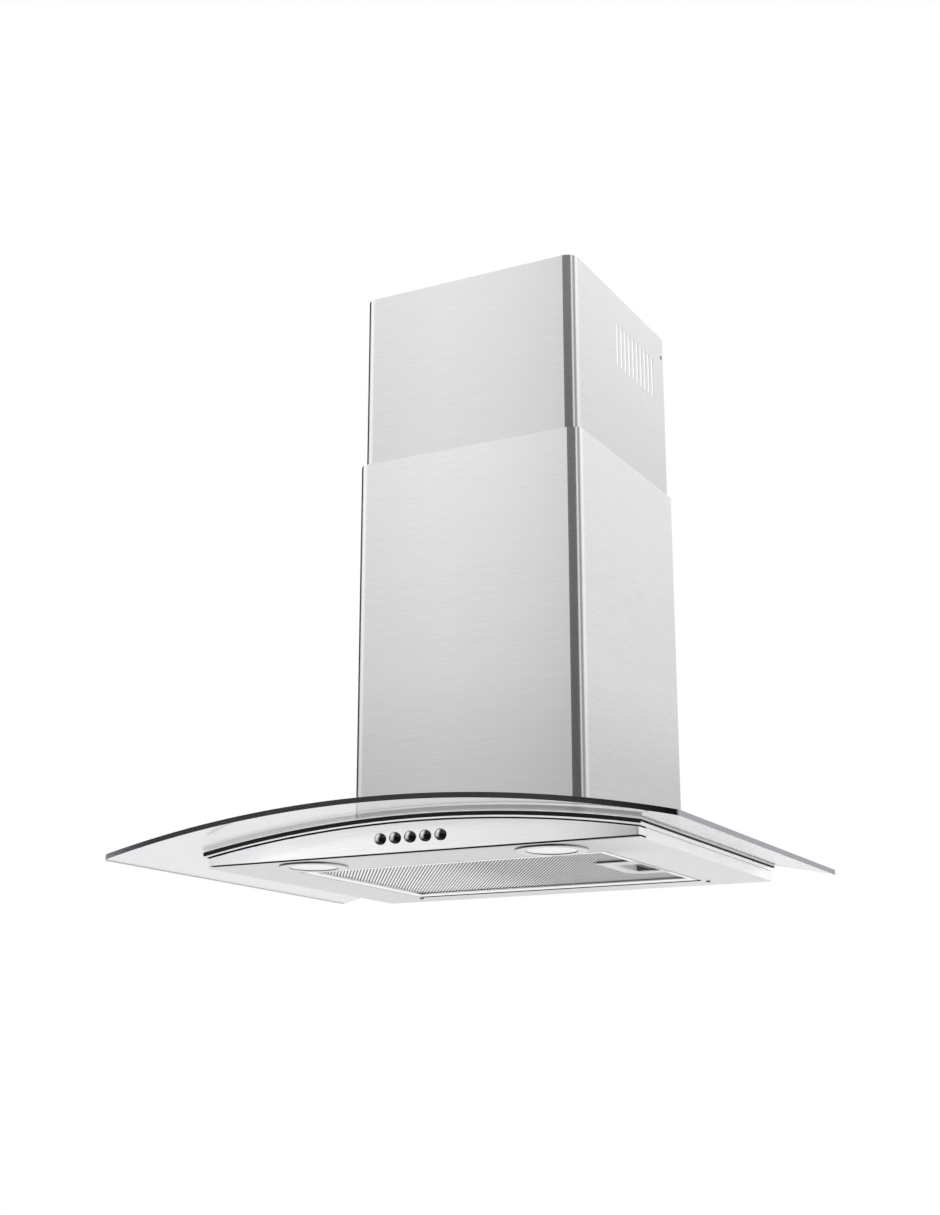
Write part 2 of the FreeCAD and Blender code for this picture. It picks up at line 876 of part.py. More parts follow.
def around_axis(radius):
    points = []
    for number in range(arm_count):
        points.append(scroll_point(90 + 360 / arm_count * number, radius))
    return [(point.y, point.z) for point in points]


def arm_places():
    return around_axis(arm_radius)


def casing_right():
    half = scroll_prism(casing_wall, 0, casing_outer)
    half = half.cut(scroll_prism(0, 0, casing_half))
    eye = rod(wheel_bore, (0, scroll_y, scroll_z), (1, 0, 0), 2 * casing_outer)
    half = half.cut(eye)
    half = half.cut(box(-spare, casing_half, chute_front, chute_back, chute_top - casing_wall,
                        chute_top + spare))
    lip = box(casing_half, casing_half + chute_lip, collar_y - chute_lip_width / 2,
              collar_y + chute_lip_width / 2, chute_top - casing_wall, chute_top)
    half = half.fuse(lip)
    for x, y in outlet_screw_places():
        start = (x, y, chute_top - 2 * casing_wall)
        half = half.cut(rod(screw_radius + hole_gap, start, (0, 0, 1), 3 * casing_wall))
    for y, z in arm_places():
        hole = rod(screw_radius + hole_gap, (casing_half - spare, y, z), (1, 0, 0), 2 * casing_wall)
        half = half.cut(hole)
    half = half.removeSplitter()
    half.translate(vec(seat_gap, 0, 0))
    return half


def inlet_rings():
    neck = tube(wheel_bore - hole_gap, wheel_bore - inlet_wall, (casing_half, scroll_y, scroll_z),
                (1, 0, 0), casing_wall + inlet_lip)
    start = casing_outer + seat_gap
    flange = tube(wheel_bore + inlet_flange, wheel_bore - inlet_wall, (start, scroll_y, scroll_z),
                  (1, 0, 0), inlet_lip - seat_gap)
    ring = neck.fuse(flange).removeSplitter()
    ring.translate(vec(seat_gap, 0, 0))
    return Part.makeCompound(both_sides(ring))


def outlet_screws():
    screws = []
    for x, y in outlet_screw_places():
        length = casing_wall + seat_gap + sheet + collar_thick - hole_gap
        screws.append(screw(x, y, chute_top - casing_wall, (0, 0, 1), screw_radius, length,
                            head_radius, head_height))
    return Part.makeCompound(screws)


def blower_wheel():
    axis = (1, 0, 0)
    bore = shaft_radius + run_gap / 2
    wheel = tube(wheel_radius, bore, (-disc_thick / 2, scroll_y, scroll_z), axis, disc_thick)
    hub = tube(hub_radius, bore, (-hub_half, scroll_y, scroll_z), axis, 2 * hub_half)
    pieces = [hub]
    for start in (-wheel_half, wheel_half - ring_thick):
        pieces.append(tube(wheel_radius, wheel_bore, (start, scroll_y, scroll_z), axis, ring_thick))
    for number in range(blade_count):
        angle = 360 / blade_count * number
        tip = angle + blade_lean
        thick_in = math.degrees(blade_thick / wheel_bore)
        thick_out = math.degrees(blade_thick / wheel_radius)
        inner = wheel_bore + blade_thick / 2
        outer = wheel_radius - blade_thick / 2
        corners = [scroll_point(angle, inner), scroll_point(tip, outer)]
        corners += [scroll_point(tip + thick_out, outer), scroll_point(angle + thick_in, inner)]
        face = Part.Face(Part.makePolygon(corners + corners[:1]))
        blade = face.extrude(vec(2 * wheel_half - ring_thick, 0, 0))
        blade.translate(vec(-wheel_half + ring_thick / 2, 0, 0))
        pieces.append(blade)
    return wheel.fuse(pieces).removeSplitter()


motor_start = hub_half + motor_gap
motor_end = motor_start + motor_length
bracket_start = motor_end + grommet_thick


def motor_shaft():
    length = hub_half + motor_start + shaft_in_motor
    return rod(shaft_radius, (-hub_half, scroll_y, scroll_z), (1, 0, 0), length)


def motor():
    can = rod(motor_radius, (motor_start, scroll_y, scroll_z), (1, 0, 0), motor_length)
    rims = [edge for edge in can.Edges if edge.Closed and edge.BoundBox.XLength < 0.01]
    can = can.makeFillet(motor_edge, rims)
    start = (motor_start, scroll_y, scroll_z)
    return can.cut(rod(shaft_radius + run_gap, start, (1, 0, 0), shaft_in_motor + motor_gap))


def grommet_places():
    return around_axis(grommet_pitch)


def motor_grommets():
    rings = []
    for y, z in grommet_places():
        rings.append(tube(grommet_radius, screw_radius, (motor_end, y, z), (1, 0, 0), grommet_thick))
    return Part.makeCompound(rings)


def motor_bracket():
    axis = (1, 0, 0)
    bracket = rod(bracket_ring, (bracket_start, scroll_y, scroll_z), axis, bracket_thick)
    foot = casing_outer + seat_gap
    for number, (y, z) in enumerate(arm_places()):
        arm = box(bracket_start, bracket_start + bracket_thick, scroll_y, scroll_y + arm_radius,
                  scroll_z - arm_width / 2, scroll_z + arm_width / 2)
        arm.rotate(vec(0, scroll_y, scroll_z), vec(*axis), 90 + 360 / arm_count * number)
        boss = rod(arm_boss, (foot, y, z), axis, bracket_start + bracket_thick - foot)
        bracket = bracket.fuse(arm).fuse(boss)
    start = (bracket_start - spare, scroll_y, scroll_z)
    bracket = bracket.cut(rod(bracket_hole, start, axis, 3 * bracket_thick))
    for y, z in arm_places() + grommet_places():
        bracket = bracket.cut(rod(screw_radius + hole_gap, (casing_half, y, z), axis, bracket_start))
    return bracket.removeSplitter()


def bracket_screws():
    screws = []
    face = bracket_start + bracket_thick
    for y, z in arm_places():
        length = face - casing_half
        screws.append(screw(face, y, z, (-1, 0, 0), screw_radius, length, head_radius, head_height))
    return Part.makeCompound(screws)


# Duct collar and its damper

def outlet_collar():
    axis = (0, 0, 1)
    base = (0, collar_y, box_top)
    collar = tube(duct_radius + collar_flange, duct_bore, base, axis, collar_thick)
    collar = collar.fuse(tube(duct_radius, duct_bore, base, axis, collar_thick + duct_height))
    ledge = tube(duct_bore + duct_wall / 2, duct_bore - ledge_width,
                 (0, collar_y, ledge_top - ledge_thick), axis, ledge_thick)
    collar = collar.fuse(ledge)
    pin_hole = rod(pin_radius + run_gap, (-2 * duct_radius, collar_y, pin_z), (1, 0, 0), 4 * duct_radius)
    collar = collar.cut(pin_hole)
    for x, y in outlet_screw_places():
        depth = spare + collar_thick - seat_gap
        collar = collar.cut(rod(screw_radius + hole_gap, (x, y, box_top - spare), axis, depth))
    return collar.removeSplitter()


def damper_pin():
    return rod(pin_radius, (-duct_radius, collar_y, pin_z), (1, 0, 0), 2 * duct_radius)


def damper_flap(first_knuckle):
    # The half disc in front of the pin, hung on two of the four knuckles.
    reach = duct_bore - flap_gap
    plate = rod(reach, (0, collar_y, flap_bottom), (0, 0, 1), flap_thick)
    plate = plate.cut(box(-reach, reach, collar_y - flap_edge, collar_y + reach, flap_bottom - spare,
                          flap_bottom + flap_thick + spare))
    step = knuckle_length + knuckle_gap
    for number in (first_knuckle, first_knuckle + 2):
        x = -2 * step + knuckle_gap / 2 + step * number
        knuckle = rod(knuckle_radius, (x, collar_y, pin_z), (1, 0, 0), knuckle_length)
        web = box(x, x + knuckle_length, collar_y - flap_edge - flap_gap, collar_y, flap_bottom,
                  flap_bottom + flap_thick)
        plate = plate.fuse(knuckle).fuse(web)
    bore = rod(pin_radius + run_gap, (-reach, collar_y, pin_z), (1, 0, 0), 2 * reach)
    return plate.cut(bore).removeSplitter()


def damper_flap_back():
    return damper_flap(1).mirror(vec(0, collar_y, 0), vec(0, 1, 0))


# Chimney covers and their brackets

def cover(half, front, back, z0, z1):
    # Front and sides of folded sheet, with narrow returns at the back.
    skin = bent_prism(half, front, back, cover_corner, z0, z1)
    low = z0 - spare
    high = z1 + spare
    inner = bent_prism(half - sheet, front + sheet, back - sheet, cover_corner - sheet, low, high)
    gap = half - sheet - cover_return
    return skin.cut(inner).cut(box(-gap, gap, back - 2 * sheet, back + sheet, low, high))


def lower_cover():
    skin = cover(lower_half, lower_front, 0, 0, lower_top)
    ground = under_arch(-glass_width / 2, glass_width / 2, lower_front - spare, spare, -body_half,
                        glass_thick + seat_gap)
    return skin.cut(ground)


def upper_cover():
    skin = cover(upper_half, upper_front, upper_back, upper_top - upper_length, upper_top)
    top = upper_top - vent_drop
    side = upper_half + spare
    for number in range(vent_count):
        y = -vent_back - vent_pitch * number
        skin = skin.cut(box(-side, side, y - vent_width / 2, y + vent_width / 2, top - vent_height, top))
    return skin.cut(rod(fixing_radius, (-side, fixing_y, fixing_z), (1, 0, 0), 2 * side))


def upper_brackets():
    outside = upper_half - sheet - fit_gap
    inside = wall_hole_x - wall_bracket_pad - bracket_sheet
    back = upper_back - sheet - fit_gap
    front = back - bracket_sheet
    low = wall_hole_z - wall_bracket_height / 2
    high = wall_hole_z + wall_bracket_height / 2
    bracket = box(inside, outside, front, back, low, high)
    ear = box(outside - bracket_sheet, outside, front - wall_bracket_ear, back,
              fixing_z - wall_bracket_tail, high)
    pad = rod(wall_bracket_pad, (wall_hole_x, front, wall_hole_z), (0, 1, 0), -front)
    bracket = bracket.fuse(ear).fuse(pad)
    start = (wall_hole_x, front - spare, wall_hole_z)
    bracket = bracket.cut(rod(wall_bracket_hole, start, (0, 1, 0), 2 * spare - front))
    hole = rod(fixing_radius - hole_gap, (inside, fixing_y, fixing_z), (1, 0, 0), upper_half)
    return Part.makeCompound(both_sides(bracket.cut(hole).removeSplitter()))


def cover_brackets():
    z0 = arch_z(box_half, glass_thick) + cover_bracket_rise
    inside = box_half + seat_gap
    outside = lower_half - sheet - seat_gap
    back = -cover_bracket_back
    front = back - cover_bracket_width
    bracket = box(inside, outside, front, back, z0, z0 + bracket_sheet)
    for x0 in (inside, outside - bracket_sheet):
        bracket = bracket.fuse(box(x0, x0 + bracket_sheet, front, back, z0, z0 + cover_bracket_flange))
    return Part.makeCompound(both_sides(bracket.removeSplitter()))


# Electrical pieces

capacitor_x = -(box_half - sheet - capacitor_radius - capacitor_clip - hole_gap)
capacitor_y = box_front + sheet + capacitor_radius + capacitor_clip + hole_gap
capacitor_z = glass_crown + capacitor_rise


def run_capacitor():
    can = rod(capacitor_radius, (capacitor_x, capacitor_y, capacitor_z), (0, 0, 1), capacitor_length)
    return can.makeFillet(capacitor_clip, [edge for edge in can.Edges if edge.Closed])


def capacitor_clip_band():
    low = capacitor_z + capacitor_length / 2 - capacitor_clip_height / 2
    inner = capacitor_radius + seat_gap
    start = (capacitor_x, capacitor_y, low)
    return tube(inner + capacitor_clip, inner, start, (0, 0, 1), capacitor_clip_height)


terminal_left = -box_half + terminal_inset
terminal_right = terminal_left + terminal_length
terminal_front = box_front + terminal_inset
terminal_middle = terminal_front + terminal_depth / 2
lid_bottom = box_top + terminal_height
lid_top = lid_bottom + terminal_wall
gland_x = (terminal_left + terminal_right) / 2
gland_bottom = lid_bottom - gland_thread_length
gland_top = lid_top + gland_nut_length


def terminal_box():
    wall = terminal_wall
    back = terminal_front + terminal_depth
    tray = box(terminal_left, terminal_right, terminal_front, back, box_top, lid_bottom)
    return tray.cut(box(terminal_left + wall, terminal_right - wall, terminal_front + wall, back - wall,
                        box_top + wall, lid_bottom + wall))


def terminal_lid():
    back = terminal_front + terminal_depth
    lid = box(terminal_left, terminal_right, terminal_front, back, lid_bottom, lid_top)
    edges = [edge for edge in lid.Edges if edge.BoundBox.ZLength > terminal_wall / 2]
    lid = lid.makeFillet(terminal_wall, edges)
    start = (gland_x, terminal_middle, lid_bottom - terminal_wall)
    return lid.cut(rod(gland_thread + hole_gap, start, (0, 0, 1), 3 * terminal_wall))


def cable_gland():
    axis = (0, 0, 1)
    start = (gland_x, terminal_middle, gland_bottom)
    thread = tube(gland_thread, gland_bore, start, axis, gland_top - gland_bottom)
    nut = tube(gland_nut, gland_bore, (gland_x, terminal_middle, lid_top), axis, gland_nut_length)
    return thread.fuse(nut).removeSplitter()


def lamp_driver():
    right = box_half - terminal_inset
    case = box(right - driver_length, right, terminal_front, terminal_front + driver_depth, box_top,
               box_top + driver_height)
    edges = [edge for edge in case.Edges if edge.BoundBox.ZLength > driver_height / 2]
    return case.makeFillet(driver_corner, edges)


# All the pieces, by name

pieces = {
    "body_shell": body_shell(),
    "front_fascia": front_fascia(),
    "glass_support": glass_support(),
    "glass_seal": glass_seal(),
    "glass_canopy": glass_canopy(),
    "glass_clips": glass_clips(),
    "clip_pads": clip_pads(),
    "clip_screws": clip_screws(),
    "switch_block": switch_block(),
    "switch_bracket": switch_bracket(),
    "rear_rail": rear_rail(),
    "rail_screws": rail_screws(),
    "filter_frame": filter_frame(),
    "filter_mesh": filter_mesh(),
    "filter_core": filter_core(),
    "filter_back_mesh": filter_back_mesh(),
    "filter_tray": filter_tray(),
    "filter_latch": filter_latch(),
    "blower_box": blower_box(),
    "foot_screws": foot_screws(),
    "hanging_plate": hanging_plate(),
    "plate_screws": plate_screws(),
    "casing_right": casing_right(),
    "casing_left": mirrored(casing_right()),
    "inlet_rings": inlet_rings(),
    "outlet_screws": outlet_screws(),
    "blower_wheel": blower_wheel(),
    "motor_shaft": motor_shaft(),
    "motor": motor(),
    "motor_grommets": motor_grommets(),
    "motor_bracket": motor_bracket(),
    "bracket_screws": bracket_screws(),
    "run_capacitor": run_capacitor(),
    "capacitor_clip": capacitor_clip_band(),
    "outlet_collar": outlet_collar(),
    "damper_pin": damper_pin(),
    "damper_flap_front": damper_flap(0),
    "damper_flap_back": damper_flap_back(),
    "terminal_box": terminal_box(),
    "terminal_lid": terminal_lid(),
    "cable_gland": cable_gland(),
    "lamp_driver": lamp_driver(),
    "lower_cover": lower_cover(),
    "upper_cover": upper_cover(),
    "upper_brackets": upper_brackets(),
    "cover_brackets": cover_brackets(),
}
for side, x in (("left", -lamp_x), ("right", lamp_x)):
    pieces["lamp_bezel_" + side] = lamp_bezel(x)
    pieces["lamp_lens_" + side] = lamp_lens(x)
    pieces["lamp_body_" + side] = lamp_body(x)
for number, x in enumerate(button_places()):
    pieces["button_" + str(number + 1)] = push_button(x)

for name, shape in pieces.items():
    save(name, shape)
print(len(pieces), "pieces, origin", round(hang_z, 2), "above the bottom panel")
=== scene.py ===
import bpy
import bmesh
import json
import math
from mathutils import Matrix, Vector


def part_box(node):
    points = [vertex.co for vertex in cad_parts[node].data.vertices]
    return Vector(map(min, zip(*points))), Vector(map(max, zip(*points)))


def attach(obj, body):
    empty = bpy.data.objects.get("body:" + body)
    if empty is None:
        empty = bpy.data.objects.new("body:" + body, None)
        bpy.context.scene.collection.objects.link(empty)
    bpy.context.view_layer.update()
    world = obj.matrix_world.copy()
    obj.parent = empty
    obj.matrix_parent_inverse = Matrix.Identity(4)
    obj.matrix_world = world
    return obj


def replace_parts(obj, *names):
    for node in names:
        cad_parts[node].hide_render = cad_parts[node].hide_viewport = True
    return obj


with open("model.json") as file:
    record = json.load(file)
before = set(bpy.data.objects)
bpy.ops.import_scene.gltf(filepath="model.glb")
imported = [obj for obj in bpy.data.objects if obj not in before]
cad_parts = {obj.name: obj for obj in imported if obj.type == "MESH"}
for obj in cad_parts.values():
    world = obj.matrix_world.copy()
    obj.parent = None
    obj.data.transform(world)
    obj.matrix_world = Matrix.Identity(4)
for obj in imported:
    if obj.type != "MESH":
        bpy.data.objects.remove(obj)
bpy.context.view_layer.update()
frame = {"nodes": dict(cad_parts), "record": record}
scene = bpy.context.scene
nodes = frame["nodes"]
print("frame loaded:", len(nodes), "nodes")


# Camera, from the photo's vanishing lines

shot = {"place": (0.8207, -1.8008, -0.48339), "yaw": 27.8, "pitch": 15.7, "lens": 52.19, "sensor": 36.0}


def addCamera():
    data = bpy.data.cameras.new("photoCamera")
    data.sensor_width = shot["sensor"]
    data.lens = shot["lens"]
    camera = bpy.data.objects.new("photoCamera", data)
    scene.collection.objects.link(camera)
    yaw = math.radians(shot["yaw"])
    pitch = math.radians(shot["pitch"])
    forward = Vector((-math.sin(yaw) * math.cos(pitch), math.cos(yaw) * math.cos(pitch), math.sin(pitch)))
    camera.location = shot["place"]
    camera.rotation_mode = "QUATERNION"
    camera.rotation_quaternion = forward.to_track_quat("-Z", "Y")
    scene.camera = camera


addCamera()
scene.view_settings.view_transform = "Standard"
print("camera set")


# Node helpers

def newMaterial(name):
    material = bpy.data.materials.new(name)
    material.use_nodes = True
    tree = material.node_tree
    return material, tree, tree.nodes["Principled BSDF"], tree.nodes["Material Output"]


def addNode(tree, kind, **settings):
    node = tree.nodes.new(kind)
    for key, value in settings.items():
        setattr(node, key, value)
    return node


def math2(tree, operation, a, b=0.0):
    node = addNode(tree, "ShaderNodeMath", operation=operation)
    for socket, value in zip(node.inputs, (a, b)):
        if isinstance(value, (int, float)):
            socket.default_value = value
        else:
            tree.links.new(value, socket)
    return node.outputs[0]


def ramp(tree, source, stops):
    node = addNode(tree, "ShaderNodeValToRGB")
    elements = node.color_ramp.elements
    while len(elements) < len(stops):
        elements.new(0.5)  # its place is set below
    for element, (place, tone) in zip(elements, stops):
        element.position = place
        element.color = (*tone, 1) if hasattr(tone, "__len__") else (tone, tone, tone, 1)
    tree.links.new(source, node.inputs[0])
    return node.outputs[0]


def mapRange(tree, source, fromLow, fromHigh, toLow, toHigh):
    node = addNode(tree, "ShaderNodeMapRange")
    for index, value in enumerate((fromLow, fromHigh, toLow, toHigh)):
        node.inputs[index + 1].default_value = value
    tree.links.new(source, node.inputs[0])
    return node.outputs[0]


def objectPlace(tree):
    return addNode(tree, "ShaderNodeTexCoord").outputs["Object"]


def noise(tree, scale, detail, rough=0.6, size=1.0):
    mapping = addNode(tree, "ShaderNodeMapping")
    mapping.inputs["Scale"].default_value = scale
    tree.links.new(objectPlace(tree), mapping.inputs["Vector"])
    node = addNode(tree, "ShaderNodeTexNoise")
    node.inputs["Scale"].default_value = size
    node.inputs["Detail"].default_value = detail
    node.inputs["Roughness"].default_value = rough
    tree.links.new(mapping.outputs[0], node.inputs["Vector"])
    return node.outputs["Fac"]


def mixTone(tree, kind, factor, a, b):
    node = addNode(tree, "ShaderNodeMix", data_type="RGBA", blend_type=kind)
    # inputs 6 and 7 and output 2 are the node's colours
    for socket, value in ((node.inputs[0], factor), (node.inputs[6], a), (node.inputs[7], b)):
        if isinstance(value, (int, float)):
            socket.default_value = value
        elif isinstance(value, tuple):
            socket.default_value = (*value, 1)
        else:
            tree.links.new(value, socket)
    return node.outputs[2]


def bumpFrom(tree, shader, height, strength, distance):
    node = addNode(tree, "ShaderNodeBump")
    node.inputs["Strength"].default_value = strength
    node.inputs["Distance"].default_value = distance
    tree.links.new(height, node.inputs["Height"])
    tree.links.new(node.outputs[0], shader.inputs["Normal"])


grainSpan = (0.3, 0.7)  # where the noise mostly lies
evenScale = (1.0, 1.0, 1.0)
fullTone = (1.0, 1.0, 1.0)
fineDepth = 0.0002  # of the bump in plain finishes


def fromGrain(tree, grain, low, high):
    return mapRange(tree, grain, *grainSpan, low, high)


def towards(tree, axis, low, high):
    facing = addNode(tree, "ShaderNodeSeparateXYZ")
    tree.links.new(addNode(tree, "ShaderNodeTexCoord").outputs["Normal"], facing.inputs[0])
    return mapRange(tree, facing.outputs[axis], low, high, 0.0, 1.0)


def along(tree, axis, low, high, bend=None):
    place = addNode(tree, "ShaderNodeSeparateXYZ")
    tree.links.new(objectPlace(tree), place.inputs[0])
    reach = place.outputs[axis]
    if bend:
        slope, bow = bend
        curve = math2(tree, "ADD", math2(tree, "MULTIPLY", place.outputs[0], bow), slope)
        reach = math2(tree, "ADD", reach, math2(tree, "MULTIPLY", place.outputs[0], curve))
    return mapRange(tree, reach, low, high, 0.0, 1.0)


# Which way a face looks: the axis, and how far its normal leans that way where a tone starts and is full
facingUp = (2, 0.5, 0.7)
facingDown = (2, -0.5, -0.7)
facingRight = (0, 0.5, 0.8)
facingFront = (1, -0.5, -0.8)


# Brushed steel of the body and the chimney: fine scratches, level on the walls and across the panel

brushed = {
    "wallGrain": (24.0, 24.0, 1300.0), "panelGrain": (9.0, 1500.0, 1500.0), "broad": (2.0, 2.0, 30.0),
    "detail": 2.0, "spread": 0.045, "broadShade": 0.99, "roughSpread": 0.02,
    "glance": 0.84, "glanceDip": 0.985,  # tint at a flat angle
    "bump": 0.012, "bumpDepth": 0.0001, "brushTurn": 0.25,
}


def brushedSteel(name, tone, rough, paintedLightShade=(), anisotropy=0.0, glance=brushed["glance"]):
    material, tree, shader, _ = newMaterial(name)
    level = math2(tree, "MAXIMUM", towards(tree, *facingUp), towards(tree, *facingDown))
    wallGrain = noise(tree, brushed["wallGrain"], brushed["detail"])
    panelGrain = noise(tree, brushed["panelGrain"], brushed["detail"])
    grain = mixTone(tree, "MIX", level, wallGrain, panelGrain)
    broad = noise(tree, brushed["broad"], brushed["detail"])
    low = tuple(c * (1 - brushed["spread"]) for c in tone)
    high = tuple(min(1.0, c * (1 + brushed["spread"])) for c in tone)
    colour = mixTone(tree, "MIX", fromGrain(tree, grain, 0.0, 1.0), low, high)
    colour = mixTone(tree, "MULTIPLY", 1.0, colour, fromGrain(tree, broad, brushed["broadShade"], 1.0))
    tint = fromGrain(tree, grain, glance * brushed["glanceDip"], glance)
    # painted light and shade: each multiplies the colour and the tint
    for fade in paintedLightShade:
        reach = along(tree, fade["axis"], fade["low"], fade["high"], fade.get("bend"))
        share = ramp(tree, reach, fade["stops"])
        if "across" in fade:
            band = fade["across"]
            inBand = ramp(tree, along(tree, band["axis"], band["low"], band["high"]), band["stops"])
            share = mixTone(tree, "MIX", inBand, fullTone, share)
        if "facing" in fade:
            share = mixTone(tree, "MIX", towards(tree, *fade["facing"]), fullTone, share)
        colour = mixTone(tree, "MULTIPLY", 1.0, colour, share)
        tint = mixTone(tree, "MULTIPLY", 1.0, tint, share)
    tree.links.new(colour, shader.inputs["Base Color"])
    tree.links.new(tint, shader.inputs["Specular Tint"])
    spread = brushed["roughSpread"]
    tree.links.new(fromGrain(tree, grain, rough - spread, rough + spread), shader.inputs["Roughness"])
    shader.inputs["Metallic"].default_value = 1.0
    if anisotropy:
        shader.inputs["Anisotropic"].default_value = anisotropy
        shader.inputs["Anisotropic Rotation"].default_value = brushed["brushTurn"]
        tangent = addNode(tree, "ShaderNodeTangent", direction_type="RADIAL", axis="Z")
        tree.links.new(tangent.outputs[0], shader.inputs["Tangent"])
    bumpFrom(tree, shader, grain, brushed["bump"], brushed["bumpDepth"])
    return material


# Plain metals: pressed, plated and cast

metal = {"detail": 4.0, "noiseRough": 0.6, "roughSpread": 0.15}


def plainMetal(name, tone, rough, scale, spread=0.06, bump=0.03, paintedShade=()):
    material, tree, shader, _ = newMaterial(name)
    grain = noise(tree, evenScale, metal["detail"], metal["noiseRough"], scale)
    low = tuple(c * (1 - spread) for c in tone)
    high = tuple(min(1.0, c * (1 + spread)) for c in tone)
    colour = mixTone(tree, "MIX", fromGrain(tree, grain, 0.0, 1.0), low, high)
    # painted shade: faces that lean the given way take the given tone
    for axis, start, end, shadeTone in paintedShade:
        colour = mixTone(tree, "MIX", towards(tree, axis, start, end), colour, shadeTone)
    tree.links.new(colour, shader.inputs["Base Color"])
    smooth, coarse = rough * (1 - metal["roughSpread"]), rough * (1 + metal["roughSpread"])
    tree.links.new(fromGrain(tree, grain, smooth, coarse), shader.inputs["Roughness"])
    shader.inputs["Metallic"].default_value = 1.0
    bumpFrom(tree, shader, grain, bump, fineDepth)
    return material


# Zinc-coated sheet with its crystal spangle

zinc = {"cells": 130.0, "dull": 0.86, "bright": 1.1, "roughLess": 0.08, "roughMore": 0.1, "metallic": 0.9,
        "detail": 3.0, "noiseRough": 0.6, "grain": 900.0, "bump": 0.05}


def zincSheet(name, tone, rough):
    material, tree, shader, _ = newMaterial(name)
    cells = addNode(tree, "ShaderNodeTexVoronoi", feature="F1")
    cells.inputs["Scale"].default_value = zinc["cells"]
    tree.links.new(objectPlace(tree), cells.inputs["Vector"])
    split = addNode(tree, "ShaderNodeSeparateColor")
    tree.links.new(cells.outputs["Color"], split.inputs[0])
    spangle = split.outputs[0]
    low = tuple(c * zinc["dull"] for c in tone)
    high = tuple(min(1.0, c * zinc["bright"]) for c in tone)
    tree.links.new(mixTone(tree, "MIX", spangle, low, high), shader.inputs["Base Color"])
    roughness = mapRange(tree, spangle, 0.0, 1.0, rough - zinc["roughLess"], rough + zinc["roughMore"])
    tree.links.new(roughness, shader.inputs["Roughness"])
    shader.inputs["Metallic"].default_value = zinc["metallic"]
    grain = noise(tree, evenScale, zinc["detail"], zinc["noiseRough"], zinc["grain"])
    bumpFrom(tree, shader, grain, zinc["bump"], fineDepth)
    return material


# Moulded plastic and rubber: a fine spark-eroded grain

mould = {"detail": 3.0, "noiseRough": 0.65, "cloud": 25.0, "cloudDetail": 2.0, "cloudRough": 0.5,
         "dull": 0.9, "bright": 1.08, "span": (0.7, 1.3), "front": (1, -0.6, -0.85), "roughSpread": 0.06}


def moulded(name, tone, rough, scale=1400.0, bump=0.12, specular=0.5, frontShadeTone=None):
    material, tree, shader, _ = newMaterial(name)
    grain = noise(tree, evenScale, mould["detail"], mould["noiseRough"], scale)
    cloud = noise(tree, evenScale, mould["cloudDetail"], mould["cloudRough"], mould["cloud"])
    low = tuple(c * mould["dull"] for c in tone)
    high = tuple(min(1.0, c * mould["bright"]) for c in tone)
    factor = mapRange(tree, math2(tree, "ADD", grain, cloud), *mould["span"], 0.0, 1.0)
    colour = mixTone(tree, "MIX", factor, low, high)
    # painted shade: faces that look forward take this tone
    if frontShadeTone:
        colour = mixTone(tree, "MIX", towards(tree, *mould["front"]), colour, frontShadeTone)
    tree.links.new(colour, shader.inputs["Base Color"])
    spread = mould["roughSpread"]
    tree.links.new(fromGrain(tree, grain, rough - spread, rough + spread), shader.inputs["Roughness"])
    shader.inputs["Specular IOR Level"].default_value = specular
    bumpFrom(tree, shader, grain, bump, fineDepth)
    return material


# Clear glass that darkens with the way through it, so that its edges look nearly black; its two ends are
# ground, and a slight haze lies on its underside

canopyFinish = {
    "tone": (0.95, 0.95, 0.955), "toneRise": 1.01, "ior": 1.5,
    "edgeTone": (0.55, 0.56, 0.62), "density": 34.0,
    "smear": 14.0, "smearDetail": 2.0, "smearNoise": 0.5, "smearSpan": (0.4, 0.7), "smearRough": 0.015,
    "groundTone": (0.5, 0.5, 0.54), "endRight": (0, 0.6, 0.9), "endLeft": (0, -0.6, -0.9),
    "hazeTone": (0.95, 0.95, 0.96), "haze": 0.28, "under": (2, -0.7, -0.9),
}


def mixShaders(tree, factor, first, second):
    node = addNode(tree, "ShaderNodeMixShader")
    for socket, source in zip(node.inputs, (factor, first, second)):
        tree.links.new(source, socket)
    return node.outputs[0]


def diffuse(tree, tone):
    node = addNode(tree, "ShaderNodeBsdfDiffuse")
    node.inputs["Color"].default_value = (*tone, 1)
    return node.outputs[0]


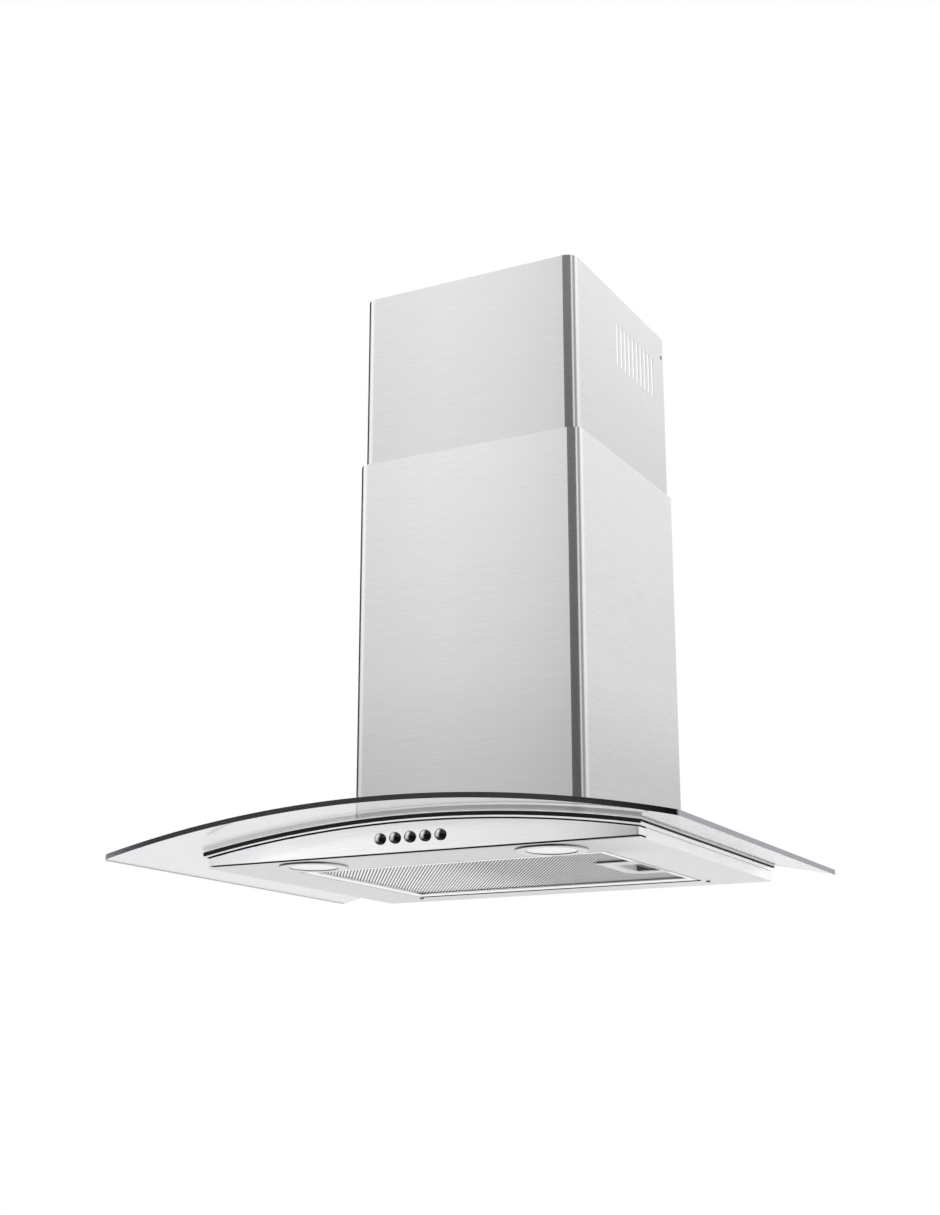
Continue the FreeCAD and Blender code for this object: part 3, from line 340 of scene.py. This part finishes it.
def clearGlass(name):
    finish = canopyFinish
    material, tree, shader, output = newMaterial(name)
    shader.inputs["Transmission Weight"].default_value = 1.0
    shader.inputs["IOR"].default_value = finish["ior"]
    smear = noise(tree, evenScale, finish["smearDetail"], finish["smearNoise"], finish["smear"])
    roughness = mapRange(tree, smear, *finish["smearSpan"], 0.0, finish["smearRough"])
    tree.links.new(roughness, shader.inputs["Roughness"])
    risen = tuple(c * finish["toneRise"] for c in finish["tone"])
    tree.links.new(mixTone(tree, "MIX", smear, finish["tone"], risen), shader.inputs["Base Color"])
    ends = math2(tree, "MAXIMUM", towards(tree, *finish["endRight"]), towards(tree, *finish["endLeft"]))
    sheet = mixShaders(tree, ends, shader.outputs[0], diffuse(tree, finish["groundTone"]))
    inside = addNode(tree, "ShaderNodeNewGeometry").outputs["Backfacing"]
    outside = math2(tree, "MULTIPLY", towards(tree, *finish["under"]),
                    math2(tree, "SUBTRACT", finish["haze"], inside))
    hazeShare = math2(tree, "MAXIMUM", outside, 0.0)
    hazed = mixShaders(tree, hazeShare, sheet, diffuse(tree, finish["hazeTone"]))
    through = addNode(tree, "ShaderNodeBsdfTransparent").outputs[0]
    shadowRay = addNode(tree, "ShaderNodeLightPath").outputs["Is Shadow Ray"]
    tree.links.new(mixShaders(tree, shadowRay, hazed, through), output.inputs["Surface"])
    body = addNode(tree, "ShaderNodeVolumeAbsorption")
    body.inputs["Color"].default_value = (*finish["edgeTone"], 1)
    body.inputs["Density"].default_value = finish["density"]
    tree.links.new(body.outputs[0], output.inputs["Volume"])
    return material


# Frosted lens of the lamps, with a faint glow

lens = {"low": (0.92, 0.92, 0.91), "high": (0.99, 0.99, 0.98), "glow": 0.12, "smooth": 0.3, "coarse": 0.42,
        "detail": 3.0, "noiseRough": 0.6, "grain": 1600.0, "bump": 0.1}


def frostedLens(name):
    material, tree, shader, _ = newMaterial(name)
    grain = noise(tree, evenScale, lens["detail"], lens["noiseRough"], lens["grain"])
    tone = mixTone(tree, "MIX", grain, lens["low"], lens["high"])
    tree.links.new(tone, shader.inputs["Base Color"])
    tree.links.new(tone, shader.inputs["Emission Color"])
    shader.inputs["Emission Strength"].default_value = lens["glow"]
    tree.links.new(fromGrain(tree, grain, lens["smooth"], lens["coarse"]), shader.inputs["Roughness"])
    bumpFrom(tree, shader, grain, lens["bump"], fineDepth)
    return material


# Painted light and shade in the steel: where each starts and ends, and its share of the tone on the way

# painted light and shade on the chimney covers: darker towards the bottom and towards the left edge, lighter
# at the foot and on the faces that look right
coverPaintedLight = {
    "upper": {"axis": 2, "low": 0.19, "high": 0.383, "stops": [(0.0, 0.9), (1.0, 1.0)]},
    "lower": {"axis": 2, "low": -0.22, "high": 0.186,
              "stops": [(0.0, 0.66), (0.055, 0.66), (0.17, 0.7), (0.4, 0.83), (0.67, 0.92), (1.0, 1.0)]},
    "foot": {"axis": 2, "low": -0.216, "high": -0.183, "bend": (0.0758, 0.344),
             "stops": [(0.0, 1.5), (1.0, 1.0)]},
    "side": {"axis": 2, "low": -0.22, "high": 0.383, "facing": facingRight,
             "stops": [(0.0, 1.16), (0.1, 1.14), (0.23, 1.12), (0.41, 1.045), (0.65, 1.015), (1.0, 1.04)]},
    "left": {"axis": 0, "low": -0.155, "high": -0.03, "facing": facingFront,
             "stops": [(0.0, 0.9), (1.0, 1.0)]},
}
bodyAcross = {"axis": 0, "low": -0.2325, "high": 0.2325}
# painted light and shade across the front fascia: lighter left of the middle, darker towards the right end
fasciaPaintedLight = {
    **bodyAcross, "facing": (1, -0.3, -0.7),
    "stops": [(0.0, 1.0), (0.07, 1.06), (0.165, 1.13), (0.28, 1.07), (0.45, 1.0), (0.6, 0.96),
              (0.73, 0.93), (0.81, 0.96), (0.9, 0.95), (0.925, 0.92), (0.975, 0.86), (1.0, 0.8)],
}
# painted light on the bottom panel, a little lighter towards the right
panelPaintedLight = {
    **bodyAcross, "facing": facingDown,
    "stops": [(0.0, 1.02), (0.5, 1.0), (0.8, 1.06), (1.0, 1.05)],
}
# painted shade on the front strip of the bottom panel, darker towards the right, fading out towards the back
stripPaintedShade = {
    **bodyAcross, "facing": facingDown,
    "stops": [(0.0, 1.0), (0.3, 1.02), (0.47, 0.99), (0.6, 0.97), (0.75, 0.93), (0.87, 0.88), (1.0, 1.0)],
    "across": {"axis": 1, "low": -0.365, "high": -0.27, "stops": [(0.0, 1.0), (0.75, 1.0), (1.0, 0.0)]},
}
# painted shadow: a dark line along the forward-looking edge at the back of the filter opening
slotPaintedShadow = {
    "axis": 1, "low": -0.0396, "high": -0.0384, "facing": facingFront,
    "stops": [(0.0, 1.0), (0.2, 0.08), (0.8, 0.08), (1.0, 1.0)],
}
# painted light: the walls that face right are made lighter
wallLightTone = (1.25, 1.24, 1.22)  # the same all the way up
wallPaintedLight = {
    "axis": 2, "low": -0.2587, "high": -0.23, "facing": facingRight,
    "stops": [(0.0, wallLightTone), (1.0, wallLightTone)],
}
# painted shade on the buttons: the faces that look right or down are nearly black
domeShadeTone = (0.03, 0.03, 0.032)
domeShade = [(0, -0.1, 0.3, domeShadeTone), (2, -0.1, -0.5, domeShadeTone)]
# painted shade on the lamp bezels: the chamfers grey, the faces that look forward nearly black
bezelShade = [(2, -0.9, -0.6, (0.3, 0.3, 0.31)), (1, -0.3, -0.7, (0.05, 0.05, 0.052))]


# Finishes by slot, and of the nodes that have one of their own

coverSteel = {"tone": (0.82, 0.82, 0.835), "rough": 0.22, "anisotropy": 0.5}
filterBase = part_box("filter_frame")[0].z


def coverFinish(name, keys):
    paintedLightShade = [coverPaintedLight[key] for key in keys]
    return brushedSteel(name, coverSteel["tone"], coverSteel["rough"], paintedLightShade, coverSteel["anisotropy"])


# name, tone and roughness come first
finishes = {
    "brushed_steel": brushedSteel("bodySteel", (0.75, 0.75, 0.755), 0.22),
    "rim_steel": brushedSteel("rimSteel", (0.98, 0.98, 0.975), 0.16, glance=1.0),
    "canopy_glass": clearGlass("canopyGlass"),
    "black_rubber": moulded("padRubber", (0.012, 0.012, 0.013), 0.6, scale=900.0, bump=0.1, specular=0.3),
    "button_chrome": plainMetal("buttonChrome", (0.62, 0.62, 0.63), 0.08, scale=60.0, spread=0.03, bump=0.01,
                                paintedShade=domeShade),
    "bezel_steel": plainMetal("bezelSteel", (0.56, 0.56, 0.57), 0.2, scale=500.0, spread=0.04, bump=0.02,
                              paintedShade=bezelShade),
    "lamp_glass": frostedLens("lampLens"),
    "lamp_aluminium": plainMetal("lampCasting", (0.55, 0.55, 0.56), 0.45, scale=700.0, spread=0.1,
                                 bump=0.15),
    "filter_aluminium": plainMetal("filterAluminium", (0.88, 0.88, 0.885), 0.24, scale=400.0, spread=0.03,
                                   bump=0.02),
    # painted shade: the tray's forward-looking faces, its front edge and the back wall of its pocket, are
    # nearly black
    "tray_plastic": moulded("handlePlastic", (0.84, 0.84, 0.835), 0.38, scale=1600.0, bump=0.05,
                            frontShadeTone=(0.05, 0.05, 0.052)),
    "dark_plastic": moulded("darkPlastic", (0.03, 0.03, 0.033), 0.45),
    "casing_plastic": moulded("casingPlastic", (0.16, 0.16, 0.17), 0.5),
    "case_plastic": moulded("casePlastic", (0.7, 0.7, 0.68), 0.45),
    "zinc_sheet": zincSheet("zincSheet", (0.62, 0.63, 0.65), 0.36),
    "screw_steel": plainMetal("screwSteel", (0.58, 0.58, 0.59), 0.28, scale=800.0),
    "motor_paint": moulded("motorPaint", (0.05, 0.05, 0.055), 0.35, scale=700.0, bump=0.08),
    "capacitor_can": moulded("capacitorCan", (0.74, 0.74, 0.72), 0.3, scale=500.0, bump=0.04),
}
special = {
    "upper_cover": coverFinish("upperCoverSteel", ("upper", "side", "left")),
    "lower_cover": coverFinish("lowerCoverSteel", ("lower", "foot", "side", "left")),
    "front_fascia": brushedSteel("fasciaSteel", (0.88, 0.88, 0.885), 0.16, [fasciaPaintedLight, wallPaintedLight]),
    "body_shell": brushedSteel("shellSteel", (0.79, 0.79, 0.795), 0.34,
                               [panelPaintedLight, stripPaintedShade, slotPaintedShadow, wallPaintedLight]),
    "rail_screws": plainMetal("railScrewSteel", (0.09, 0.09, 0.095), 0.35, scale=800.0),
    # painted shade: the core behind the mesh is given a dark tone
    "filter_core": plainMetal("shadedCoreAluminium", (0.3, 0.3, 0.305), 0.45, scale=500.0),
}
for row in frame["record"]["subparts"]:
    skin = nodes[row["node"]].data
    skin.materials.clear()
    skin.materials.append(special.get(row["node"], finishes[row["material_slot"]]))


# Building pieces

smoothAngle = 30.0  # degrees


def addPiece(name, mesh, body, material):
    piece = bpy.data.objects.new(name, mesh)
    scene.collection.objects.link(piece)
    mesh.materials.append(material)
    for face in mesh.polygons:
        face.use_smooth = True
    mesh.set_sharp_from_angle(angle=math.radians(smoothAngle))
    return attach(piece, body)


# Glass canopy: an arched sheet with ground, slightly rounded edges and a notch for the blower box

glass = {
    "half": 0.3, "front": -0.444, "thick": 0.005, "radius": 1.324, "crown": 0.0374, "corner": 0.006,
    "notchHalf": 0.116, "notchFront": -0.247975, "steps": 96, "rows": 6, "cornerSteps": 8,
    "notchClear": 0.001,  # stations nearer to the notch's sides than this are left out
    "slack": 0.0001,  # for rounding
    "arris": 0.0007, "arrisSteps": 2, "arrisAngle": 50.0,
}


def glassHeight(x, offset, base):
    reach = glass["radius"] + offset
    return base + glass["crown"] - glass["radius"] + math.sqrt(reach * reach - x * x)


def glassStations():
    half, corner = glass["half"], glass["corner"]
    turn = [half - corner + corner * math.sin(math.pi / 2 * k / glass["cornerSteps"])
            for k in range(glass["cornerSteps"] + 1)]
    flat = half - corner
    middle = [-flat + 2 * flat * k / glass["steps"] for k in range(1, glass["steps"])]
    notch = glass["notchHalf"]
    middle = [x for x in middle if abs(abs(x) - notch) > glass["notchClear"]] + [-notch, notch]
    return sorted([-x for x in turn] + middle + turn)


def glassFrontAt(x):
    over = abs(x) - (glass["half"] - glass["corner"])
    if over <= 0:
        return glass["front"]
    drop = glass["corner"] - math.sqrt(max(0.0, glass["corner"] ** 2 - over ** 2))
    return glass["front"] + drop


def makeGlass():
    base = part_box("body_shell")[0].z
    form = bmesh.new()
    rows = glass["rows"]
    columns = []
    for x in glassStations():
        front, notch = glassFrontAt(x), glass["notchFront"]
        places = [front + (notch - front) * k / rows for k in range(rows + 1)]
        if abs(x) > glass["notchHalf"] - glass["slack"]:
            places += [notch - notch * k / rows for k in range(1, rows + 1)]
        sides = []
        for offset in (0.0, glass["thick"]):
            sides.append([form.verts.new((x, y, glassHeight(x, offset, base))) for y in places])
        columns.append(sides)
    for (a, aTop), (b, bTop) in zip(columns, columns[1:]):
        for k in range(min(len(a), len(b)) - 1):
            form.faces.new((a[k], a[k + 1], b[k + 1], b[k]))
            form.faces.new((aTop[k], bTop[k], bTop[k + 1], aTop[k + 1]))
    loose = [vert for vert in form.verts if not vert.link_faces]
    bmesh.ops.delete(form, geom=loose, context="VERTS")
    rim = [edge for edge in form.edges if edge.is_boundary]
    bmesh.ops.bridge_loops(form, edges=rim)
    bmesh.ops.recalc_face_normals(form, faces=form.faces)
    made = bpy.data.meshes.new("glassCanopy")
    form.to_mesh(made)
    form.free()
    return made


def addGlass():
    piece = addPiece("glassCanopy", makeGlass(), "hood", finishes["canopy_glass"])
    edge = piece.modifiers.new("arris", "BEVEL")
    edge.width = glass["arris"]
    edge.segments = glass["arrisSteps"]
    edge.limit_method = "ANGLE"
    edge.angle_limit = math.radians(glass["arrisAngle"])
    edge.harden_normals = True
    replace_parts(piece, "glass_canopy")


addGlass()
print("glass canopy made")


# Seal: black rubber, with a pale strip along the top of its lips, where they meet the glass

seal = {
    "tone": (0.012, 0.012, 0.013), "rough": 0.6, "scale": 900.0, "bump": 0.1, "specular": 0.1,
    "paleTone": (0.85, 0.85, 0.86), "paleDepth": 0.0009, "soft": 0.0002,
    "lipFront": -0.3688, "lipSide": 0.2349,
}


def sealRubber(name):
    material = moulded(name, seal["tone"], seal["rough"], seal["scale"], seal["bump"], seal["specular"])
    tree = material.node_tree
    place = addNode(tree, "ShaderNodeSeparateXYZ")
    tree.links.new(objectPlace(tree), place.inputs[0])
    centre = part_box("body_shell")[0].z + glass["crown"] - glass["radius"]
    rise = math2(tree, "SUBTRACT", place.outputs[2], centre)
    riseSquare = math2(tree, "MULTIPLY", rise, rise)
    outSquare = math2(tree, "MULTIPLY", place.outputs[0], place.outputs[0])
    reach = math2(tree, "SQRT", math2(tree, "ADD", riseSquare, outSquare))
    edge = glass["radius"] - seal["paleDepth"]
    high = mapRange(tree, reach, edge - seal["soft"], edge + seal["soft"], 0.0, 1.0)
    front = mapRange(tree, place.outputs[1], seal["lipFront"], seal["lipFront"] + seal["soft"], 1.0, 0.0)
    out = math2(tree, "ABSOLUTE", place.outputs[0])
    sides = mapRange(tree, out, seal["lipSide"] - seal["soft"], seal["lipSide"], 0.0, 1.0)
    pale = math2(tree, "MULTIPLY", high, math2(tree, "MAXIMUM", front, sides))
    socket = tree.nodes["Principled BSDF"].inputs["Base Color"]
    black = socket.links[0].from_socket
    tree.links.new(mixTone(tree, "MIX", pale, black, seal["paleTone"]), socket)
    return material


nodes["glass_seal"].data.materials[0] = sealRubber("sealRubber")
print("seal finished")


# Filter mesh: two sets of slanted strands that cross, the lower set in front of the upper one

strands = {
    "pitch": 0.0039, "slope": 0.6724, "left": -0.1562, "right": 0.1622, "front": -0.2872, "back": -0.0638,
    "step": 0.0029, "trayGap": 0.0008,
    "lower": {"lean": -1, "width": 0.0021, "low": 0.0017, "high": 0.0025},
    "upper": {"lean": 1, "width": 0.0012, "low": 0.0022, "high": 0.0026},
    "hemLow": 0.0012, "hemHigh": 0.0026, "hemThick": 0.0004, "hemX": -0.1556,
}


# Expanded aluminium with painted shade: darker from the lower strands to the upper ones, and lighter on the
# left than on the right

strandFinishAndShade = {
    "from": 0.002, "to": 0.0024, "ragged": 0.06, "rough": 0.3, "roughSpread": 0.2,
    "detail": 3.0, "noiseRough": 0.6, "grain": 700.0,
    "low": [(0.0, 0.98), (0.35, 0.93), (0.55, 0.64), (1.0, 0.62)],
    "high": [(0.0, 0.3), (0.3, 0.2), (0.5, 0.06), (1.0, 0.05)],
}


def strandMetal(name):
    finish = strandFinishAndShade
    material, tree, shader, _ = newMaterial(name)
    grain = noise(tree, evenScale, finish["detail"], finish["noiseRough"], finish["grain"])
    depth = along(tree, 2, filterBase + finish["from"], filterBase + finish["to"])
    mixed = math2(tree, "ADD", depth, fromGrain(tree, grain, -finish["ragged"], finish["ragged"]))
    across = along(tree, 0, strands["left"], strands["right"])
    low = ramp(tree, across, finish["low"])
    high = ramp(tree, across, finish["high"])
    share = mapRange(tree, mixed, 0.0, 1.0, 0.0, 1.0)  # keeps the sum between 0 and 1
    tree.links.new(mixTone(tree, "MIX", share, low, high), shader.inputs["Base Color"])
    smooth = finish["rough"] * (1 - finish["roughSpread"])
    coarse = finish["rough"] * (1 + finish["roughSpread"])
    tree.links.new(fromGrain(tree, grain, smooth, coarse), shader.inputs["Roughness"])
    shader.inputs["Metallic"].default_value = 1.0
    return material


def addBar(form, ends, width, low, high):
    rings = []
    for x, y in ends:
        left, right = x - width / 2, x + width / 2
        corners = ((left, low), (right, low), (right, high), (left, high))
        rings.append([form.verts.new((cx, y, cz)) for cx, cz in corners])
    first, last = rings
    for i in range(len(first)):
        j = (i + 1) % len(first)
        form.faces.new((first[i], first[j], last[j], last[i]))
    form.faces.new(list(reversed(first)))
    form.faces.new(last)


def strandRuns(x, lean, trayLow, trayHigh):
    # the stretches of one slanted strand that lie in the window and clear of the tray
    count = int((strands["back"] - strands["front"]) / strands["step"])
    gap = strands["trayGap"]
    runs, run = [], []
    for k in range(count + 1):
        y = strands["front"] + strands["step"] * k
        px = x + lean * strands["slope"] * (y - strands["front"])
        inTray = px > trayLow.x - gap and trayLow.y - gap < y < trayHigh.y + gap
        if strands["left"] <= px <= strands["right"] and not inTray:
            run.append((px, y))
        elif run:
            runs.append(run)
            run = []
    if run:
        runs.append(run)
    return [(r[0], r[-1]) for r in runs if len(r) > 1]


def makeFilterMesh():
    trayLow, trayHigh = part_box("filter_tray")
    form = bmesh.new()
    drift = strands["slope"] * (strands["back"] - strands["front"])
    for layer in (strands["lower"], strands["upper"]):
        count = int((strands["right"] - strands["left"] + drift) / strands["pitch"])
        start = strands["left"] if layer["lean"] < 0 else strands["left"] - drift
        for k in range(count + 1):
            for ends in strandRuns(start + strands["pitch"] * k, layer["lean"], trayLow, trayHigh):
                addBar(form, ends, layer["width"], filterBase + layer["low"], filterBase + layer["high"])
    hem = [(strands["hemX"], strands["front"]), (strands["hemX"], strands["back"])]
    addBar(form, hem, strands["hemThick"], filterBase + strands["hemLow"], filterBase + strands["hemHigh"])
    bmesh.ops.recalc_face_normals(form, faces=form.faces)
    made = bpy.data.meshes.new("filterMesh")
    form.to_mesh(made)
    form.free()
    return made


strandSkin = strandMetal("strandAluminium")
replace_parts(addPiece("filterMesh", makeFilterMesh(), "filter", strandSkin),
            "filter_mesh")
print("filter mesh made")


# Finger tray: rounded moulding with a bead round its pocket

tray = {
    "left": 0.1228, "right": 0.1654, "front": -0.2158, "back": -0.1242, "top": 0.0076, "edge": 0.0006,
    "corners": (0.004, 0.004, 0.004, 0.016), "cornerSteps": 6, "leastCorner": 0.0003,
    "pocket": {"left": 0.1372, "right": 0.1642, "front": -0.1978, "back": -0.1448,
               "corner": 0.003, "top": 0.0064},
    # reach beyond the pocket, and height
    "bead": ((0.0034, 0.0), (0.0028, -0.0004), (0.0018, -0.0006), (0.0008, -0.0004), (0.0, 0.0004)),
}


def roundedLoop(form, box, corners, z):
    left, right, front, back = box
    turns = ((left, front, 1, 1, 180), (right, front, -1, 1, 270),
             (right, back, -1, -1, 0), (left, back, 1, -1, 90))
    loop = []
    for (x, y, sx, sy, start), radius in zip(turns, corners):
        for k in range(tray["cornerSteps"] + 1):
            angle = math.radians(start + 90 * k / tray["cornerSteps"])
            px = x + sx * radius + radius * math.cos(angle)
            py = y + sy * radius + radius * math.sin(angle)
            loop.append(form.verts.new((px, py, z)))
    return loop


def shrunk(box, corners, inset):
    left, right, front, back = box
    small = tuple(max(tray["leastCorner"], radius - inset) for radius in corners)
    return (left + inset, right - inset, front + inset, back - inset), small


def makeTray():
    form = bmesh.new()
    outer = (tray["left"], tray["right"], tray["front"], tray["back"])
    pocket = tray["pocket"]
    mouth = (pocket["left"], pocket["right"], pocket["front"], pocket["back"])
    mouthCorners = (pocket["corner"],) * 4
    loops = [roundedLoop(form, outer, tray["corners"], filterBase + tray["top"])]
    loops.append(roundedLoop(form, outer, tray["corners"], filterBase + tray["edge"]))
    loops.append(roundedLoop(form, *shrunk(outer, tray["corners"], tray["edge"]), filterBase))
    rightRoom = tray["right"] - tray["edge"] - pocket["right"]
    for spread, z in tray["bead"]:
        left, right, front, back = mouth
        reach = min(spread, rightRoom * spread / tray["bead"][0][0])
        wide = (left - spread, right + reach, front - spread, back + spread)
        loops.append(roundedLoop(form, wide, tuple(c + spread for c in mouthCorners), filterBase + z))
    loops.append(roundedLoop(form, mouth, mouthCorners, filterBase + pocket["top"]))
    for a, b in zip(loops, loops[1:]):
        for i in range(len(a)):
            j = (i + 1) % len(a)
            form.faces.new((a[i], a[j], b[j], b[i]))
    form.faces.new(loops[0])
    form.faces.new(list(reversed(loops[-1])))
    bmesh.ops.recalc_face_normals(form, faces=form.faces)
    made = bpy.data.meshes.new("fingerTray")
    form.to_mesh(made)
    form.free()
    return made


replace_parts(addPiece("fingerTray", makeTray(), "filter", finishes["tray_plastic"]),
            "filter_tray")
print("finger tray made")


# Stage: floor, world, lamps, and the panels that only reflections see

worldLevel = 0.62
floorSet = {
    "height": -1.0, "size": 6.0, "tone": 0.86, "toneRise": 1.02, "glow": 0.2, "rough": 0.9, "specular": 0.1,
    "speck": 3.0, "speckDetail": 2.0, "speckRough": 0.5,
}
lamps = {
    "keyLamp": {"from": (-0.6, -0.7, 1.0), "angle": 60.0, "power": 0.9},
    "fillLamp": {"from": (0.8, -0.5, 0.5), "angle": 60.0, "power": 0.4},
}
panelSet = {"radius": 8.0, "low": 0.0, "high": 6.0, "steps": 24, "apronLift": 0.02}
panels = {  # degrees round the part from its front, and how wide the soft edges are
    "darkFront": {"start": -22.0, "end": 58.0, "tone": 0.16, "soft": 4.0, "apron": 1.0},
    "greyRight": {"start": 68.0, "end": 98.0, "tone": 0.36, "soft": 4.0},
    "brightRight": {"start": 104.0, "end": 136.0, "tone": 1.12, "soft": 3.0},
    "brightLeft": {"start": -84.0, "end": -40.0, "tone": 1.3, "soft": 12.0},
    "darkLeft": {"start": -140.0, "end": -88.0, "tone": 0.04, "soft": 2.0},
}


def whiteToSight(tree):
    paths = addNode(tree, "ShaderNodeLightPath")
    seen = math2(tree, "MAXIMUM", paths.outputs["Is Camera Ray"], paths.outputs["Is Glossy Ray"])
    return math2(tree, "MAXIMUM", seen, paths.outputs["Is Transmission Ray"])


def addWorld():
    world = bpy.data.worlds.new("studio")
    scene.world = world
    world.use_nodes = True
    tree = world.node_tree
    background = tree.nodes["Background"]
    background.inputs["Color"].default_value = (1, 1, 1, 1)
    level = mapRange(tree, whiteToSight(tree), 0.0, 1.0, worldLevel, 1.0)
    tree.links.new(level, background.inputs["Strength"])


def addFloor():
    half = floorSet["size"] / 2
    made = bpy.data.meshes.new("floor")
    z = floorSet["height"]
    corners = [(-half, -half, z), (half, -half, z), (half, half, z), (-half, half, z)]
    made.from_pydata(corners, [], [(0, 1, 2, 3)])
    floor = bpy.data.objects.new("floor", made)
    scene.collection.objects.link(floor)
    material, tree, shader, output = newMaterial("paleFloor")
    speck = noise(tree, evenScale, floorSet["speckDetail"], floorSet["speckRough"], floorSet["speck"])
    tone = (floorSet["tone"],) * 3
    risen = tuple(c * floorSet["toneRise"] for c in tone)
    tree.links.new(mixTone(tree, "MIX", speck, tone, risen), shader.inputs["Base Color"])
    shader.inputs["Roughness"].default_value = floorSet["rough"]
    shader.inputs["Specular IOR Level"].default_value = floorSet["specular"]
    glow = addNode(tree, "ShaderNodeEmission")
    level = math2(tree, "MULTIPLY", whiteToSight(tree), floorSet["glow"])
    tree.links.new(level, glow.inputs["Strength"])
    both = addNode(tree, "ShaderNodeAddShader")
    tree.links.new(shader.outputs[0], both.inputs[0])
    tree.links.new(glow.outputs[0], both.inputs[1])
    tree.links.new(both.outputs[0], output.inputs["Surface"])
    made.materials.append(material)


def addLamps():
    for name, lamp in lamps.items():
        data = bpy.data.lights.new(name, "SUN")
        data.angle = math.radians(lamp["angle"])
        data.energy = lamp["power"]
        made = bpy.data.objects.new(name, data)
        scene.collection.objects.link(made)
        made.rotation_mode = "QUATERNION"
        made.rotation_quaternion = (-Vector(lamp["from"])).to_track_quat("-Z", "Y")
        made.visible_glossy = False


def panelMaterial(name, tone, softShare):
    material, tree, shader, output = newMaterial(name)
    across = addNode(tree, "ShaderNodeUVMap", uv_map="across").outputs[0]
    split = addNode(tree, "ShaderNodeSeparateXYZ")
    tree.links.new(across, split.inputs[0])
    stops = [(0.0, 0.0), (softShare, 1.0), (1.0 - softShare, 1.0), (1.0, 0.0)]
    cover = ramp(tree, split.outputs[0], stops)
    glow = addNode(tree, "ShaderNodeEmission")
    glow.inputs["Color"].default_value = (tone, tone, tone, 1)
    clear = addNode(tree, "ShaderNodeBsdfTransparent").outputs[0]
    tree.links.new(mixShaders(tree, cover, clear, glow.outputs[0]), output.inputs["Surface"])
    tree.nodes.remove(shader)
    return material


def addPanel(name, panel):
    steps, radius = panelSet["steps"], panelSet["radius"]
    span = panel["end"] - panel["start"]
    points, faces = [], []
    rows = [(radius, panelSet["low"]), (radius, panelSet["high"])]
    if "apron" in panel:
        apronHeight = floorSet["height"] + panelSet["apronLift"]
        rows = [(panel["apron"], apronHeight), (radius, apronHeight), rows[1]]
    for k in range(steps + 1):
        turn = math.radians(panel["start"] + span * k / steps)
        for reach, z in rows:
            points.append((reach * math.sin(turn), -reach * math.cos(turn), z))
    for k in range(steps):
        for i in range(len(rows) - 1):
            a = k * len(rows) + i
            b = a + len(rows)
            faces.append((a, b, b + 1, a + 1))
    made = bpy.data.meshes.new(name)
    made.from_pydata(points, [], faces)
    layer = made.uv_layers.new(name="across")
    for loop in made.loops:
        station, row = divmod(loop.vertex_index, len(rows))
        layer.data[loop.index].uv = (station / steps, row / (len(rows) - 1))
    made.materials.append(panelMaterial(name, panel["tone"], panel["soft"] / span))
    card = bpy.data.objects.new(name, made)
    scene.collection.objects.link(card)
    card.visible_camera = False
    card.visible_diffuse = False
    card.visible_transmission = False
    card.visible_shadow = False


addWorld()
addFloor()
addLamps()
for name, panel in panels.items():
    addPanel(name, panel)
print("stage set")
